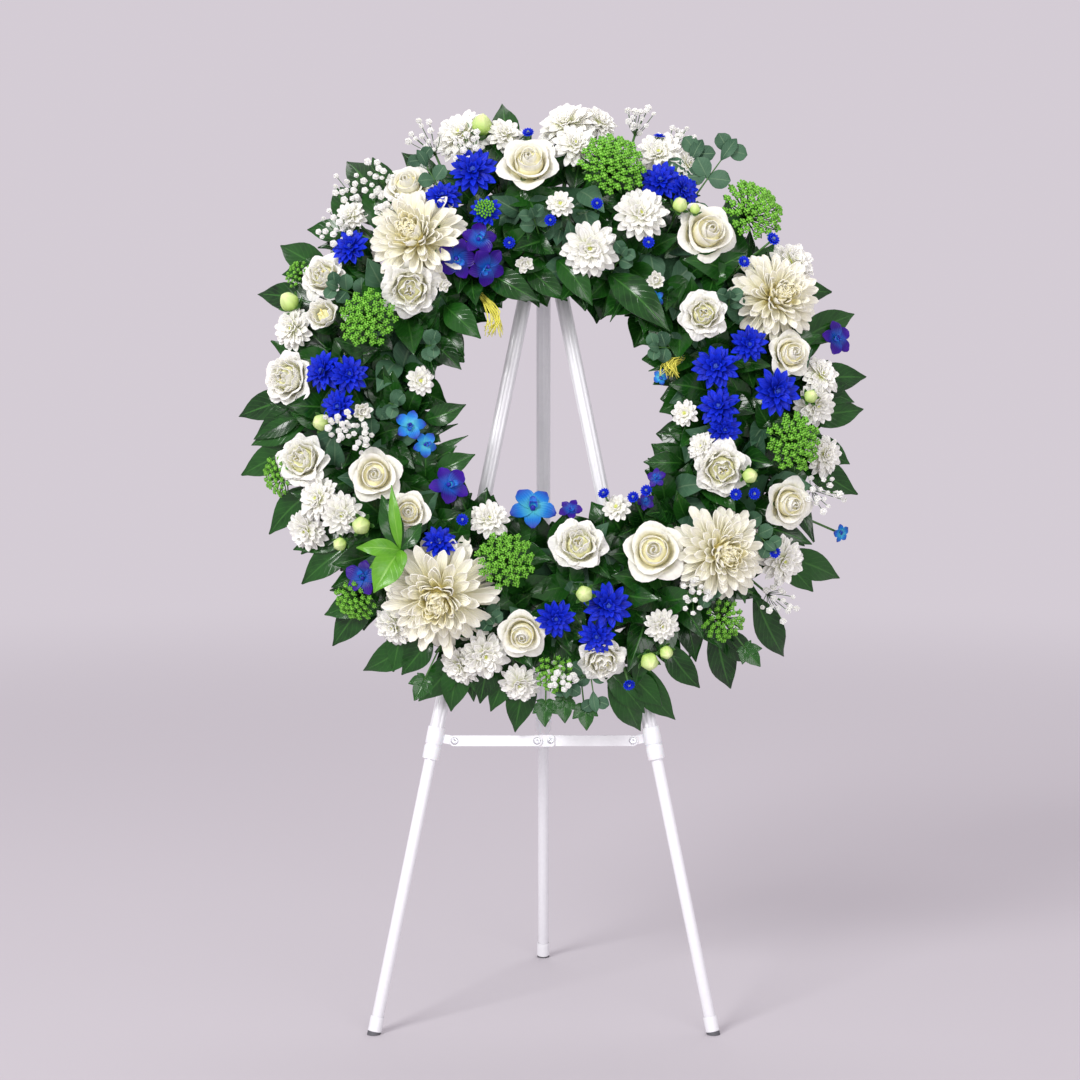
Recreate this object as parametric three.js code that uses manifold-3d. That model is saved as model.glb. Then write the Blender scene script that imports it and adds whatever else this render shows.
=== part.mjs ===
// A round funeral wreath of fresh flowers, hung on a folding three-legged stand.
// Millimetres, +Z up, origin on the floor under the middle of the object.
import * as THREE from 'three';
import { mergeVertices } from 'three/addons/utils/BufferGeometryUtils.js';
import Module from 'manifold-3d';

const wasm = await Module();
wasm.setup();

// Driving dimensions of the stand
const LEAN = THREE.MathUtils.degToRad(8);
const SPLAY = THREE.MathUtils.degToRad(11.5);
const REAR_SLOPE = THREE.MathUtils.degToRad(13);
const FRONT_FEET_Y = -138;
const STAND_X = -10;
const PIVOT_UP = 858;
const PIVOT_OUT = 12;
const REAR_PIVOT_BACK = 20;
const GAP = 0.3;
const TUBE_SIDES = 8;
const UPPER_RADIUS = 8;
const UPPER_BORE = 7;
const UPPER_TOP = 14;
const UPPER_END = 562;
const BORE_START = 288;
const LOWER_RADIUS = 6.6;
const LOWER_BORE = 5.6;
const LOWER_TOP = 500;
const COLLAR_RADIUS = 9.6;
const COLLAR_TOP = 532;
const COLLAR_END = 568;
const FOOT_RADIUS = 7.7;
const FOOT_HEIGHT = 20;
const FOOT_CHAMFER = 0.4;
const TANG_WIDTH = 12;
const TANG_THICKNESS = 6;
const PIN_RADIUS = 2;
const RIVET_ALONG = 543;
const RIVET_INBOARD = 22;
const STRIP_WIDTH = 12;
const STRIP_THICKNESS = 2;
const PLATE_PIVOT = 7.4;

// Driving dimensions of the wreath's base
const RING_UP = 684;
const RING_STEPS = 15;
const STEP = (Math.PI * 2) / RING_STEPS;
const FOAM_INNER = 153;
const FOAM_OUTER = 247;
const TRAY_BACK = 8.4;
const TRAY_WALL = 2;
const TRAY_RIM = 28;
const FOAM_FRONT = 56;
const MAT_THICKNESS = 3.4;
const WIRE_RADIUS = 1.6;

// Driving dimensions of the flowers and foliage
const CORE_RADIUS = 200;
const DOME_HEIGHT = 104;
const DOME_FALL = 42;
const DOME_REACH = 100;
const FACING = 0.75;
const BRANCH_HEIGHT = 67;
const ROOT_DEPTH = 26;
const FOLIAGE_SECTORS = 5;

// Paints and finishes
function paint(color, roughness, metalness = 0) {
  return new THREE.MeshStandardMaterial({ color, roughness, metalness });
}
const whitePaint = paint(0xe9e9ec, 0.35, 0.2);
const whitePlastic = paint(0xf0f0f2, 0.45);
const soleRubber = paint(0xd9d9da, 0.7);
const steelWire = paint(0x8f9498, 0.4, 0.8);
const trayPlastic = paint(0x1f3a24, 0.5);
const foamGreen = paint(0x2f5a35, 0.95);
const leafGreen = paint(0x14501c, 0.35);
const flowerPaint = {
  cream_mum: paint(0xf3efda, 0.7),
  rose: paint(0xf6f3e6, 0.6),
  lisianthus: paint(0xf7f5ee, 0.7),
  white_mum: paint(0xfbfaf4, 0.7),
  blue_mum: paint(0x1226c8, 0.6),
  umbel: paint(0x79c832, 0.7),
  orchid: paint(0x3a1aa0, 0.5),
  gypsophila: paint(0xfdfdfb, 0.7),
};

// Seeded random draws, the same on every run
let seed = 4321;
function draw(low, high) {
  seed = (seed * 16807) % 2147483647;
  return low + (high - low) * (seed / 2147483647);
}

// A closed solid from points and triangles, with its faces turned outwards
function solid(points, faces) {
  let volume = 0;
  for (const [a, b, c] of faces) {
    const [p, q, r] = [points[a], points[b], points[c]];
    volume += p[0] * (q[1] * r[2] - q[2] * r[1]);
    volume += p[1] * (q[2] * r[0] - q[0] * r[2]);
    volume += p[2] * (q[0] * r[1] - q[1] * r[0]);
  }
  const turned = volume < 0 ? faces.map(([a, b, c]) => [a, c, b]) : faces;
  return new wasm.Manifold(new wasm.Mesh({
    numProp: 3,
    vertProperties: Float32Array.from(points.flat()),
    triVerts: Uint32Array.from(turned.flat()),
  }));
}

// A solid from one of the library's own geometries
function solidFrom(geometry) {
  geometry.deleteAttribute('normal');
  geometry.deleteAttribute('uv');
  const welded = mergeVertices(geometry, 1e-3);
  const place = welded.getAttribute('position');
  const points = [];
  for (let i = 0; i < place.count; i++) points.push([place.getX(i), place.getY(i), place.getZ(i)]);
  const faces = [];
  for (let i = 0; i < welded.index.count; i += 3) {
    const face = [welded.index.getX(i), welded.index.getX(i + 1), welded.index.getX(i + 2)];
    if (new Set(face).size === 3) faces.push(face);
  }
  return solid(points, faces);
}

// Rings with equal numbers of points, joined one after another and closed by a point at each end
function loft(first, rings, last) {
  const points = [first, ...rings.flat(), last];
  const count = rings[0].length;
  const end = points.length - 1;
  const at = (ring, k) => 1 + ring * count + (k % count);
  const faces = [];
  for (let k = 0; k < count; k++) {
    faces.push([0, at(0, k + 1), at(0, k)]);
    for (let ring = 1; ring < rings.length; ring++) {
      faces.push([at(ring - 1, k), at(ring - 1, k + 1), at(ring, k + 1)]);
      faces.push([at(ring - 1, k), at(ring, k + 1), at(ring, k)]);
    }
    faces.push([end, at(rings.length - 1, k), at(rings.length - 1, k + 1)]);
  }
  return { points, faces };
}

// The same shape moved to a frame given by a matrix
function placed(shape, matrix) {
  const move = ([x, y, z]) => new THREE.Vector3(x, y, z).applyMatrix4(matrix).toArray();
  return solid(shape.points.map(move), shape.faces);
}

// The frame that stands at a point with its z along one direction and its x near another
function frameAt(origin, zAxis, xNear) {
  const z = new THREE.Vector3(...zAxis).normalize();
  const y = new THREE.Vector3().crossVectors(z, new THREE.Vector3(...xNear)).normalize();
  const x = new THREE.Vector3().crossVectors(y, z);
  return new THREE.Matrix4().makeBasis(x, y, z).setPosition(...origin);
}

function meshOf(name, body, material) {
  const { vertProperties, triVerts } = body.getMesh();
  const geometry = new THREE.BufferGeometry();
  geometry.setAttribute('position', new THREE.BufferAttribute(vertProperties, 3));
  geometry.setIndex(new THREE.BufferAttribute(triVerts, 1));
  const mesh = new THREE.Mesh(geometry, material);
  mesh.name = name;
  return mesh;
}

function box(x0, x1, y0, y1, z0, z1) {
  const geometry = new THREE.BoxGeometry(x1 - x0, y1 - y0, z1 - z0);
  geometry.translate((x0 + x1) / 2, (y0 + y1) / 2, (z0 + z1) / 2);
  return solidFrom(geometry);
}

// A round pin along z or along x
function pin(radius, x, y, z, length, along = 'z') {
  const geometry = new THREE.CylinderGeometry(radius, radius, length, 8);
  if (along === 'z') geometry.rotateX(Math.PI / 2);
  else geometry.rotateZ(Math.PI / 2);
  geometry.translate(x, y, z);
  return solidFrom(geometry);
}

// A turned piece round the leg's own axis, from a list of radius and distance below the pivot
function turned(profile) {
  const line = profile.map(([radius, along]) => new THREE.Vector2(radius, -along));
  return solidFrom(new THREE.LatheGeometry(line, TUBE_SIDES));
}

const object = new THREE.Group();

// Everything in the front legs' plane: x across, y up the slope, z towards the viewer
const leaning = new THREE.Group();
leaning.position.set(0, FRONT_FEET_Y, 0);
leaning.rotation.x = Math.PI / 2 - LEAN;
object.add(leaning);

// The legs hang from their pivots, each in a frame of its own with y along the tube
function legFrame(parent, x, y, z, turn) {
  const frame = new THREE.Group();
  frame.position.set(x, y, z);
  frame.rotation.set(turn.x, 0, turn.z);
  parent.add(frame);
  return frame;
}
const leftLeg = legFrame(leaning, STAND_X - PIVOT_OUT, PIVOT_UP, 0, { x: 0, z: -SPLAY });
const rightLeg = legFrame(leaning, STAND_X + PIVOT_OUT, PIVOT_UP, 0, { x: 0, z: SPLAY });
const rearPivot = new THREE.Vector3(STAND_X, PIVOT_UP, -REAR_PIVOT_BACK)
  .applyAxisAngle(new THREE.Vector3(1, 0, 0), Math.PI / 2 - LEAN).add(leaning.position);
const rearLeg = legFrame(object, ...rearPivot.toArray(), { x: Math.PI / 2 + REAR_SLOPE, z: 0 });

// Upper tube, closed at the top by a flat tang that turns on the head's pin
function upperLeg(name, frame, tangTurn) {
  const tube = turned([[0, UPPER_TOP], [UPPER_RADIUS, UPPER_TOP], [UPPER_RADIUS, UPPER_END],
    [UPPER_BORE, UPPER_END], [UPPER_BORE, BORE_START], [0, BORE_START]]);
  const half = TANG_WIDTH / 2;
  const thin = TANG_THICKNESS / 2;
  const tangEnd = UPPER_TOP + 4;
  const hole = PIN_RADIUS + GAP;
  const tang = tangTurn
    ? box(-thin, thin, -tangEnd, half, -half, half).subtract(pin(hole, 0, 0, 0, 3 * thin, 'x'))
    : box(-half, half, -tangEnd, half, -thin, thin).subtract(pin(hole, 0, 0, 0, 3 * thin));
  frame.add(meshOf(name, tube.add(tang), whitePaint));
}

// Lower tube, which slides inside the upper one
function lowerLeg(name, frame, end) {
  const tube = turned([[LOWER_BORE, LOWER_TOP], [LOWER_RADIUS, LOWER_TOP], [LOWER_RADIUS, end],
    [LOWER_BORE, end], [LOWER_BORE, LOWER_TOP]]);
  frame.add(meshOf(name, tube, whitePaint));
}

// Cap on the lower tube, cut square to it and worn flat where it meets the floor
function foot(name, frame, floorAlong, up, pivotHeight) {
  const top = floorAlong - FOOT_HEIGHT;
  const seat = floorAlong - FOOT_HEIGHT / 3;
  const end = floorAlong + 0.9;
  const cap = turned([[LOWER_RADIUS + GAP, top], [FOOT_RADIUS - FOOT_CHAMFER, top], [FOOT_RADIUS, top + 1],
    [FOOT_RADIUS, end], [0, end], [0, seat], [LOWER_RADIUS + GAP, seat], [LOWER_RADIUS + GAP, top]]);
  frame.add(meshOf(name, cap.trimByPlane(up, -pivotHeight), soleRubber));
  return seat - GAP;
}

// Friction collar that holds the upper tube's end and grips the lower tube below it
function collar(name, frame, extras) {
  const hold = UPPER_RADIUS + GAP;
  const grip = LOWER_RADIUS + GAP;
  const lip = UPPER_END + GAP;
  let body = turned([[0, COLLAR_TOP], [COLLAR_RADIUS, COLLAR_TOP], [COLLAR_RADIUS, COLLAR_END],
    [0, COLLAR_END]]);
  for (const extra of extras) body = body.add(extra);
  const bore = turned([[0, COLLAR_TOP - 1], [hold, COLLAR_TOP - 1], [hold, lip], [grip, lip],
    [grip, COLLAR_END + 1], [0, COLLAR_END + 1]]);
  frame.add(meshOf(name, body.subtract(bore), whitePlastic));
}

const legs = [['left', leftLeg, false], ['right', rightLeg, false], ['rear', rearLeg, true]];
object.updateMatrixWorld(true);
for (const [side, frame, tangTurn] of legs) {
  const world = frame.getWorldQuaternion(new THREE.Quaternion()).invert();
  const up = new THREE.Vector3(0, 0, 1).applyQuaternion(world);
  const pivotHeight = frame.getWorldPosition(new THREE.Vector3()).z;
  const floorAlong = pivotHeight / up.y;
  upperLeg(`${side}_upper_leg`, frame, tangTurn);
  const tubeEnd = foot(`${side}_foot`, frame, floorAlong, up.toArray(), pivotHeight);
  lowerLeg(`${side}_lower_leg`, frame, tubeEnd);
}

// Lug on a front collar, with the rivet that carries the brace strip
function lug(inboard, face) {
  const back = face - 4;
  const root = inboard * (UPPER_RADIUS - 3);
  const tip = inboard * (RIVET_INBOARD + 5);
  const reach = STRIP_THICKNESS + 2 * GAP;
  const x = inboard * RIVET_INBOARD;
  return [
    box(Math.min(root, tip), Math.max(root, tip), -RIVET_ALONG - 5, -RIVET_ALONG + 5, back, face),
    pin(PIN_RADIUS, x, -RIVET_ALONG, face + reach / 2, reach + 2),
    pin(2 * PIN_RADIUS, x, -RIVET_ALONG, face + reach + 0.7, 1.4),
  ];
}
const PLATE_FRONT = STRIP_THICKNESS;
const leftStripBack = PLATE_FRONT + GAP;
const rightStripFront = -GAP;
collar('left_collar', leftLeg, lug(1, leftStripBack - GAP));
collar('right_collar', rightLeg, lug(-1, rightStripFront - STRIP_THICKNESS - GAP));
const earReach = COLLAR_RADIUS + 4;
collar('rear_collar', rearLeg, [
  box(-earReach, earReach, -COLLAR_TOP - 12, -COLLAR_TOP - 2, -2, 2),
]);

// Brace: two flat strips riveted to the lugs and meeting at a centre plate
const rivetOut = PIVOT_OUT + RIVET_ALONG * Math.sin(SPLAY) - RIVET_INBOARD * Math.cos(SPLAY);
const rivetUp = PIVOT_UP - RIVET_ALONG * Math.cos(SPLAY) - RIVET_INBOARD * Math.sin(SPLAY);
const stripLength = rivetOut - PLATE_PIVOT;
function stripShape(length) {
  const half = STRIP_WIDTH / 2;
  const shape = new THREE.Shape();
  shape.absarc(0, 0, half, Math.PI / 2, Math.PI * 1.5, false);
  shape.absarc(length, 0, half, -Math.PI / 2, Math.PI / 2, false);
  for (const x of [0, length]) {
    const hole = new THREE.Path();
    hole.absarc(x, 0, PIN_RADIUS + GAP, 0, Math.PI * 2, true);
    shape.holes.push(hole);
  }
  return shape;
}
function strip(name, x, z, towards) {
  const geometry = new THREE.ExtrudeGeometry(stripShape(stripLength),
    { depth: STRIP_THICKNESS, bevelEnabled: false, curveSegments: 3 });
  if (towards < 0) geometry.rotateZ(Math.PI);
  geometry.translate(x, rivetUp, z);
  leaning.add(meshOf(name, solidFrom(geometry), whitePaint));
}
strip('left_brace_strip', STAND_X - rivetOut, leftStripBack, 1);
strip('right_brace_strip', STAND_X + rivetOut, rightStripFront - STRIP_THICKNESS, -1);
const plateHalf = PLATE_PIVOT + 4.6;
const pinFront = leftStripBack + STRIP_THICKNESS + GAP;
const plate = box(STAND_X - plateHalf, STAND_X + plateHalf, rivetUp - 6.5, rivetUp + 6.5, 0, PLATE_FRONT)
  .add(pin(PIN_RADIUS, STAND_X - PLATE_PIVOT, rivetUp, pinFront / 2 + 0.5, pinFront))
  .add(pin(2 * PIN_RADIUS, STAND_X - PLATE_PIVOT, rivetUp, pinFront + 0.7, 1.4))
  .add(pin(2 * PIN_RADIUS - 0.5, STAND_X + PLATE_PIVOT, rivetUp, PLATE_FRONT + 0.5, 1.4));
leaning.add(meshOf('brace_centre_plate', plate, whitePlastic));

// Head: a yoke with two front pins, a pair of ears for the rear leg and a tongue for the wire
const HEAD_HALF = 26;
const CHEEK_FRONT = UPPER_RADIUS;
const cheekInner = TANG_THICKNESS / 2 + GAP;
const headTop = 16;
const TONGUE_HALF = 10;
const TONGUE_TOP = 34;
const earOuter = cheekInner + 4;
const earBack = -REAR_PIVOT_BACK - 9;
const headX = (x0, x1) => [STAND_X + x0, STAND_X + x1];
const head = box(...headX(-HEAD_HALF, HEAD_HALF), PIVOT_UP - 9, PIVOT_UP + headTop, -CHEEK_FRONT, CHEEK_FRONT)
  .subtract(box(...headX(-HEAD_HALF - 1, HEAD_HALF + 1), PIVOT_UP - 10, PIVOT_UP + 10,
    -cheekInner, cheekInner))
  .add(pin(PIN_RADIUS, STAND_X - PIVOT_OUT, PIVOT_UP, 0, 2 * CHEEK_FRONT - 2))
  .add(pin(PIN_RADIUS, STAND_X + PIVOT_OUT, PIVOT_UP, 0, 2 * CHEEK_FRONT - 2))
  .add(box(...headX(-earOuter, -cheekInner), PIVOT_UP - 8, PIVOT_UP + 8, earBack, 1 - CHEEK_FRONT))
  .add(box(...headX(cheekInner, earOuter), PIVOT_UP - 8, PIVOT_UP + 8, earBack, 1 - CHEEK_FRONT))
  .add(pin(PIN_RADIUS, STAND_X, PIVOT_UP, -REAR_PIVOT_BACK, 2 * earOuter - 2, 'x'))
  .add(box(...headX(-TONGUE_HALF, TONGUE_HALF), PIVOT_UP + headTop - 1, PIVOT_UP + TONGUE_TOP, -3, 3));
leaning.add(meshOf('stand_head', head, whitePlastic));

// The wreath has a frame of its own, round the middle of the ring
const wreath = new THREE.Group();
wreath.position.set(0, RING_UP, 0);
leaning.add(wreath);

const ringPoint = (angle, radius, depth) => [radius * Math.cos(angle), radius * Math.sin(angle), depth];

// A band that follows the ring: a closed outline of radius and depth, swept through an angle
function ringBody(outline, start, sweep, steps) {
  const whole = sweep > Math.PI * 2 - 1e-6;
  const stations = whole ? steps : steps + 1;
  const count = outline.length;
  const points = [];
  for (let s = 0; s < stations; s++) {
    const angle = start + (sweep * s) / steps;
    for (const [radius, depth] of outline) points.push(ringPoint(angle, radius, depth));
  }
  const at = (s, k) => (s % stations) * count + (k % count);
  const faces = [];
  for (let s = 0; s < steps; s++) {
    for (let k = 0; k < count; k++) {
      faces.push([at(s, k), at(s, k + 1), at(s + 1, k + 1)]);
      faces.push([at(s, k), at(s + 1, k + 1), at(s + 1, k)]);
    }
  }
  if (!whole) {
    const flat = outline.map(([radius, depth]) => new THREE.Vector2(radius, depth));
    const flip = THREE.ShapeUtils.isClockWise(flat);
    for (const corners of THREE.ShapeUtils.triangulateShape(flip ? flat.reverse() : flat, [])) {
      const [p, q, r] = flip ? corners.map((k) => count - 1 - k).reverse() : corners;
      faces.push([at(0, p), at(0, r), at(0, q)], [at(steps, p), at(steps, q), at(steps, r)]);
    }
  }
  return solid(points, faces);
}

const foamBack = TRAY_BACK + TRAY_WALL + 0.4;
const foamOutline = [[FOAM_INNER, foamBack], [FOAM_OUTER, foamBack], [FOAM_OUTER, FOAM_FRONT],
  [FOAM_INNER, FOAM_FRONT]];
const wallInner = FOAM_INNER - 0.5;
const wallOuter = FOAM_OUTER + 0.5;
const trayFloor = TRAY_BACK + TRAY_WALL;
const trayOutline = [[wallInner - TRAY_WALL, TRAY_BACK], [wallOuter + TRAY_WALL, TRAY_BACK],
  [wallOuter + TRAY_WALL, TRAY_RIM], [wallOuter, TRAY_RIM], [wallOuter, trayFloor], [wallInner, trayFloor],
  [wallInner, TRAY_RIM], [wallInner - TRAY_WALL, TRAY_RIM]];

// Hanging wire: a loop from the foam round the back of the head's tongue
function wireLoop(radius) {
  const up = PIVOT_UP + headTop + GAP + WIRE_RADIUS - RING_UP;
  const behind = -3 - GAP - WIRE_RADIUS;
  const path = new THREE.CatmullRomCurve3([[-38, 24], [-37, 10], [-30, 0], [-13, behind], [0, behind],
    [13, behind], [30, 0], [37, 10], [38, 24]].map(([x, z]) => new THREE.Vector3(STAND_X + x, up, z)));
  const section = new THREE.Shape(Array.from({ length: 6 }, (_, k) => new THREE.Vector2(
    radius * Math.cos((k * Math.PI) / 3), radius * Math.sin((k * Math.PI) / 3))));
  return solidFrom(new THREE.ExtrudeGeometry(section, { steps: 12, bevelEnabled: false, extrudePath: path }));
}
const wireRoom = wireLoop(WIRE_RADIUS + GAP);

// Flower heads, each with its face along z and its middle at the origin
function petalRing(count, tip, valley, tipZ, valleyZ, phase = 0) {
  return Array.from({ length: count * 2 }, (_, k) => {
    const out = (k + phase) % 2 === 0;
    const angle = (Math.PI * k) / count;
    const radius = out ? tip : valley;
    return [radius * Math.cos(angle), radius * Math.sin(angle), out ? tipZ : valleyZ];
  });
}

// Chrysanthemum: tiers of petals, each tier smaller and higher and turned half a petal on
function mum(radius, petals, tiers, depth) {
  const rings = [];
  for (let tier = 0; tier < tiers; tier++) {
    const reach = radius * (1 - (0.66 * tier) / tiers);
    const crease = radius * (1 - (0.66 * (tier + 1)) / tiers) * 0.56;
    const lift = depth * (tier / tiers - 0.1);
    rings.push(petalRing(petals, reach, reach * 0.66, lift + depth * 0.1, lift, tier % 2));
    const between = lift + depth * 0.24;
    if (tier < tiers - 1) rings.push(petalRing(petals, crease, crease, between, between));
  }
  return loft([0, 0, -depth * 0.5], rings, [0, 0, depth * 0.8]);
}

// Daisy-like chrysanthemum of a spray: one wide tier of petals round a raised eye
function daisy(radius, petals, depth) {
  return loft([0, 0, -depth * 0.5], [
    petalRing(petals, radius, radius * 0.66, depth * 0.12, 0),
    petalRing(petals, radius * 0.34, radius * 0.42, depth * 0.5, depth * 0.62),
  ], [0, 0, depth * 0.5]);
}

// Rose: an outer cup of petals round a taller inner one that is hollow at the middle
function rose(radius) {
  const r = radius;
  return loft([0, 0, -0.95 * r], [
    petalRing(5, r, 0.84 * r, 0.16 * r, 0.02 * r),
    petalRing(5, 0.7 * r, 0.7 * r, 0.1 * r, 0.1 * r),
    petalRing(5, 0.62 * r, 0.52 * r, 0.5 * r, 0.4 * r, 1),
  ], [0, 0, 0.2 * r]);
}

// Lisianthus: two ruffled rims round a small open throat
function lisianthus(radius) {
  const r = radius;
  return loft([0, 0, -0.8 * r], [
    petalRing(5, r, 0.84 * r, 0.24 * r, 0.02 * r),
    petalRing(5, 0.6 * r, 0.6 * r, 0.08 * r, 0.08 * r),
    petalRing(5, 0.66 * r, 0.5 * r, 0.46 * r, 0.32 * r, 1),
  ], [0, 0, 0.12 * r]);
}

// Green umbel: a dome of floret clusters, raised and sunk by turns
function umbel(radius) {
  const r = radius;
  return loft([0, 0, -0.5 * r], [
    petalRing(5, r, 0.78 * r, -0.02 * r, 0.02 * r),
    petalRing(5, 0.62 * r, 0.86 * r, 0.18 * r, 0.3 * r),
    petalRing(5, 0.6 * r, 0.4 * r, 0.48 * r, 0.34 * r),
  ], [0, 0, 0.56 * r]);
}

// Pointed bud with a round belly
function bud(radius) {
  const r = radius;
  return loft([0, 0, -1.1 * r], [
    petalRing(3, 0.9 * r, 0.9 * r, -0.4 * r, -0.4 * r),
    petalRing(3, 0.8 * r, 0.8 * r, 0.5 * r, 0.5 * r),
  ], [0, 0, 1.1 * r]);
}

// Small round head, as a blue button or a gypsophila floret
function button(radius, sides) {
  const ring = Array.from({ length: sides }, (_, k) => {
    const angle = (2 * Math.PI * k) / sides;
    return [radius * Math.cos(angle), radius * Math.sin(angle), 0];
  });
  return loft([0, 0, -0.8 * radius], [ring], [0, 0, 0.8 * radius]);
}

// A leaf along x with a flat back and a raised rib, thin at its edges
function blade(length, width, thickness, stations, arch = 0) {
  const rings = stations.map(([x, half]) => {
    const rise = arch * Math.sin(Math.PI * x);
    const along = x * length;
    return [[along, half * width, rise], [along, 0, rise + thickness], [along, -half * width, rise]];
  });
  return loft([0, 0, 0], rings, [length, 0, 0]);
}

// Orchid: five broad petals, spread flat round a raised lip
function orchid(radius) {
  const PETALS = 5;
  const corner = [{ reach: 0.34, turn: 0, lift: 0.04 }, { reach: 1, turn: 0.32, lift: 0.1 },
    { reach: 1, turn: 0.68, lift: 0.02 }];
  const ring = Array.from({ length: PETALS * corner.length }, (_, k) => {
    const { reach, turn, lift } = corner[k % corner.length];
    const angle = Math.PI / 2 + ((Math.PI * 2) / PETALS) * (Math.floor(k / corner.length) + turn);
    return [radius * reach * Math.cos(angle), radius * reach * Math.sin(angle), radius * lift];
  });
  return loft([0, 0, -radius * 0.16], [ring], [0, -radius * 0.1, radius * 0.34]);
}

// Gypsophila sprig: three small florets that touch, spread like a clover
function sprig(radius) {
  const florets = petalRing(3, radius, radius * 0.36, radius * 0.3, 0);
  return loft([0, 0, -radius * 0.4], [florets], [0, 0, radius * 0.34]);
}

// What each kind of head is made of, how far it reaches and how thick its stem is
const kinds = {
  cream_mum: { shape: (r) => mum(r, 8, 3, r * 0.75), low: 0.45, stem: 3 },
  white_mum: { shape: (r) => daisy(r, r > 17 ? 6 : 5, r * 0.6), low: 0.35, stem: 1.9 },
  blue_mum: { shape: (r) => daisy(r, 6, r * 0.55), low: 0.35, stem: 1.9 },
  rose: { shape: rose, low: 0.98, stem: 2.6 },
  lisianthus: { shape: lisianthus, low: 0.85, stem: 2 },
  umbel: { shape: umbel, low: 0.5, stem: 2 },
  green_bud: { shape: bud, low: 1.1, stem: 1.4 },
  blue_button: { shape: (r) => button(r, 4), low: 0.8, stem: 1.2 },
  orchid: { shape: orchid, low: 0.3, stem: 1.9 },
  gypsophila: { shape: sprig, low: 0.5, stem: 1.2 },
};

// The flower plan: across, up and radius of each head, from the middle of the ring
const plan = [
  { node: 'cream_mum_upper_left', cream_mum: [[-150, 183, 52]] },
  { node: 'cream_mum_lower_left', cream_mum: [[-123, -209, 57]] },
  { node: 'cream_mum_lower_right', cream_mum: [[182, -160, 48]] },
  { node: 'cream_mum_right', cream_mum: [[245, 120, 46]] },
  { node: 'roses_top', rose: [[-26, 267, 28], [-159, 245, 24]] },
  { node: 'roses_right', rose: [[167, 189, 29], [258, 57, 22], [256, -105, 24]] },
  { node: 'roses_bottom', rose: [[108, -157, 29], [-33, -247, 23]] },
  { node: 'roses_left', rose: [[-191, -76, 25], [-155, -116, 20]] },
  { node: 'lisianthus_upper_left', lisianthus: [[-251, 145, 24], [-249, 100, 22], [-154, 124, 29]],
    green_bud: [[-288, 117, 13]] },
  { node: 'lisianthus_left', lisianthus: [[-290, 33, 28], [-272, -57, 27]],
    green_bud: [[-249, -20, 11], [-205, -131, 12]] },
  { node: 'lisianthus_bottom', lisianthus: [[53, -275, 24], [28, -150, 28]],
    green_bud: [[33, -204, 11], [104, -276, 12]] },
  { node: 'lisianthus_right', lisianthus: [[181, -70, 28], [162, 98, 24]],
    green_bud: [[210, -78, 10]] },
  { node: 'white_mums_top', white_mum: [[15, 318, 33], [52, 322, 22], [25, 290, 25], [8, 218, 15],
    [40, 169, 31], [-31, 153, 13]] },
  { node: 'white_mums_top_right', white_mum: [[117, 283, 27], [149, 270, 20], [95, 207, 29]] },
  { node: 'white_mums_top_left', white_mum: [[-101, 308, 33], [-52, 305, 22], [-222, 214, 19]] },
  { node: 'white_mums_left', white_mum: [[-284, 88, 24], [-205, -8, 14], [-143, 27, 16], [-118, 129, 10]] },
  { node: 'white_mums_lower_left', white_mum: [[-254, -100, 26], [-227, -118, 24], [-268, -133, 24]] },
  { node: 'white_mums_bottom', white_mum: [[-172, -237, 24], [-101, -280, 24], [-73, -269, 27],
    [-36, -300, 22], [-69, -122, 22]] },
  { node: 'white_mums_hole_right', white_mum: [[142, -8, 15], [160, -45, 17]] },
  { node: 'white_mums_right', white_mum: [[294, 36, 20], [286, 3, 22], [298, -51, 20], [264, 162, 27]] },
  { node: 'white_sprays_lower_right', white_mum: [[250, -166, 27], [117, -237, 19]],
    gypsophila: [[152, -204, 11], [246, -210, 12], [296, -92, 12]] },
  { node: 'blue_mums_top_left', blue_mum: [[-87, 259, 26], [-120, 229, 20], [-73, 210, 17], [-221, 176, 20]],
    blue_button: [[-47, 172, 6]] },
  { node: 'blue_mums_left', blue_mum: [[-249, 38, 22], [-219, 33, 20], [-231, -2, 19]] },
  { node: 'blue_mums_top_right', blue_mum: [[117, 248, 22], [143, 238, 19]],
    blue_button: [[102, 172, 6], [205, 153, 6]] },
  { node: 'blue_mums_right', blue_mum: [[175, 41, 24], [211, 65, 20], [241, 15, 25], [178, -2, 22],
    [184, -27, 18]], blue_button: [[194, -98, 6]] },
  { node: 'blue_mums_bottom', blue_mum: [[3, -230, 20], [59, -216, 24], [47, -249, 19], [-122, -147, 18]],
    blue_button: [[55, -95, 6]] },
  { node: 'green_umbels_top', umbel: [[64, 262, 36], [217, 218, 36]], green_bud: [[137, 216, 10]] },
  { node: 'green_umbels_upper_left', umbel: [[-199, 92, 31], [-280, 150, 16]], green_bud: [[-78, 315, 14]] },
  { node: 'green_umbels_bottom', umbel: [[-51, -168, 31], [2, -288, 22]] },
  { node: 'green_umbels_lower_left', umbel: [[-214, -209, 24], [-298, -73, 22]] },
  { node: 'green_umbel_right', umbel: [[258, -40, 31]] },
  { node: 'green_umbel_lower_right', umbel: [[184, -231, 24]] },
  { node: 'orchids_top', orchid: [[-103, 158, 22], [-72, 150, 22], [-80, 178, 20]] },
  { node: 'orchids_bottom', orchid: [[-22, -110, 26], [-112, -86, 22], [-205, -185, 20]] },
  { node: 'gypsophila_upper_left', gypsophila: [[-222, 242, 12], [-190, 252, 12], [-140, 300, 12],
    [-240, 197, 11]] },
  { node: 'orchid_right', orchid: [[312, 80, 20]] },
];

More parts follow.
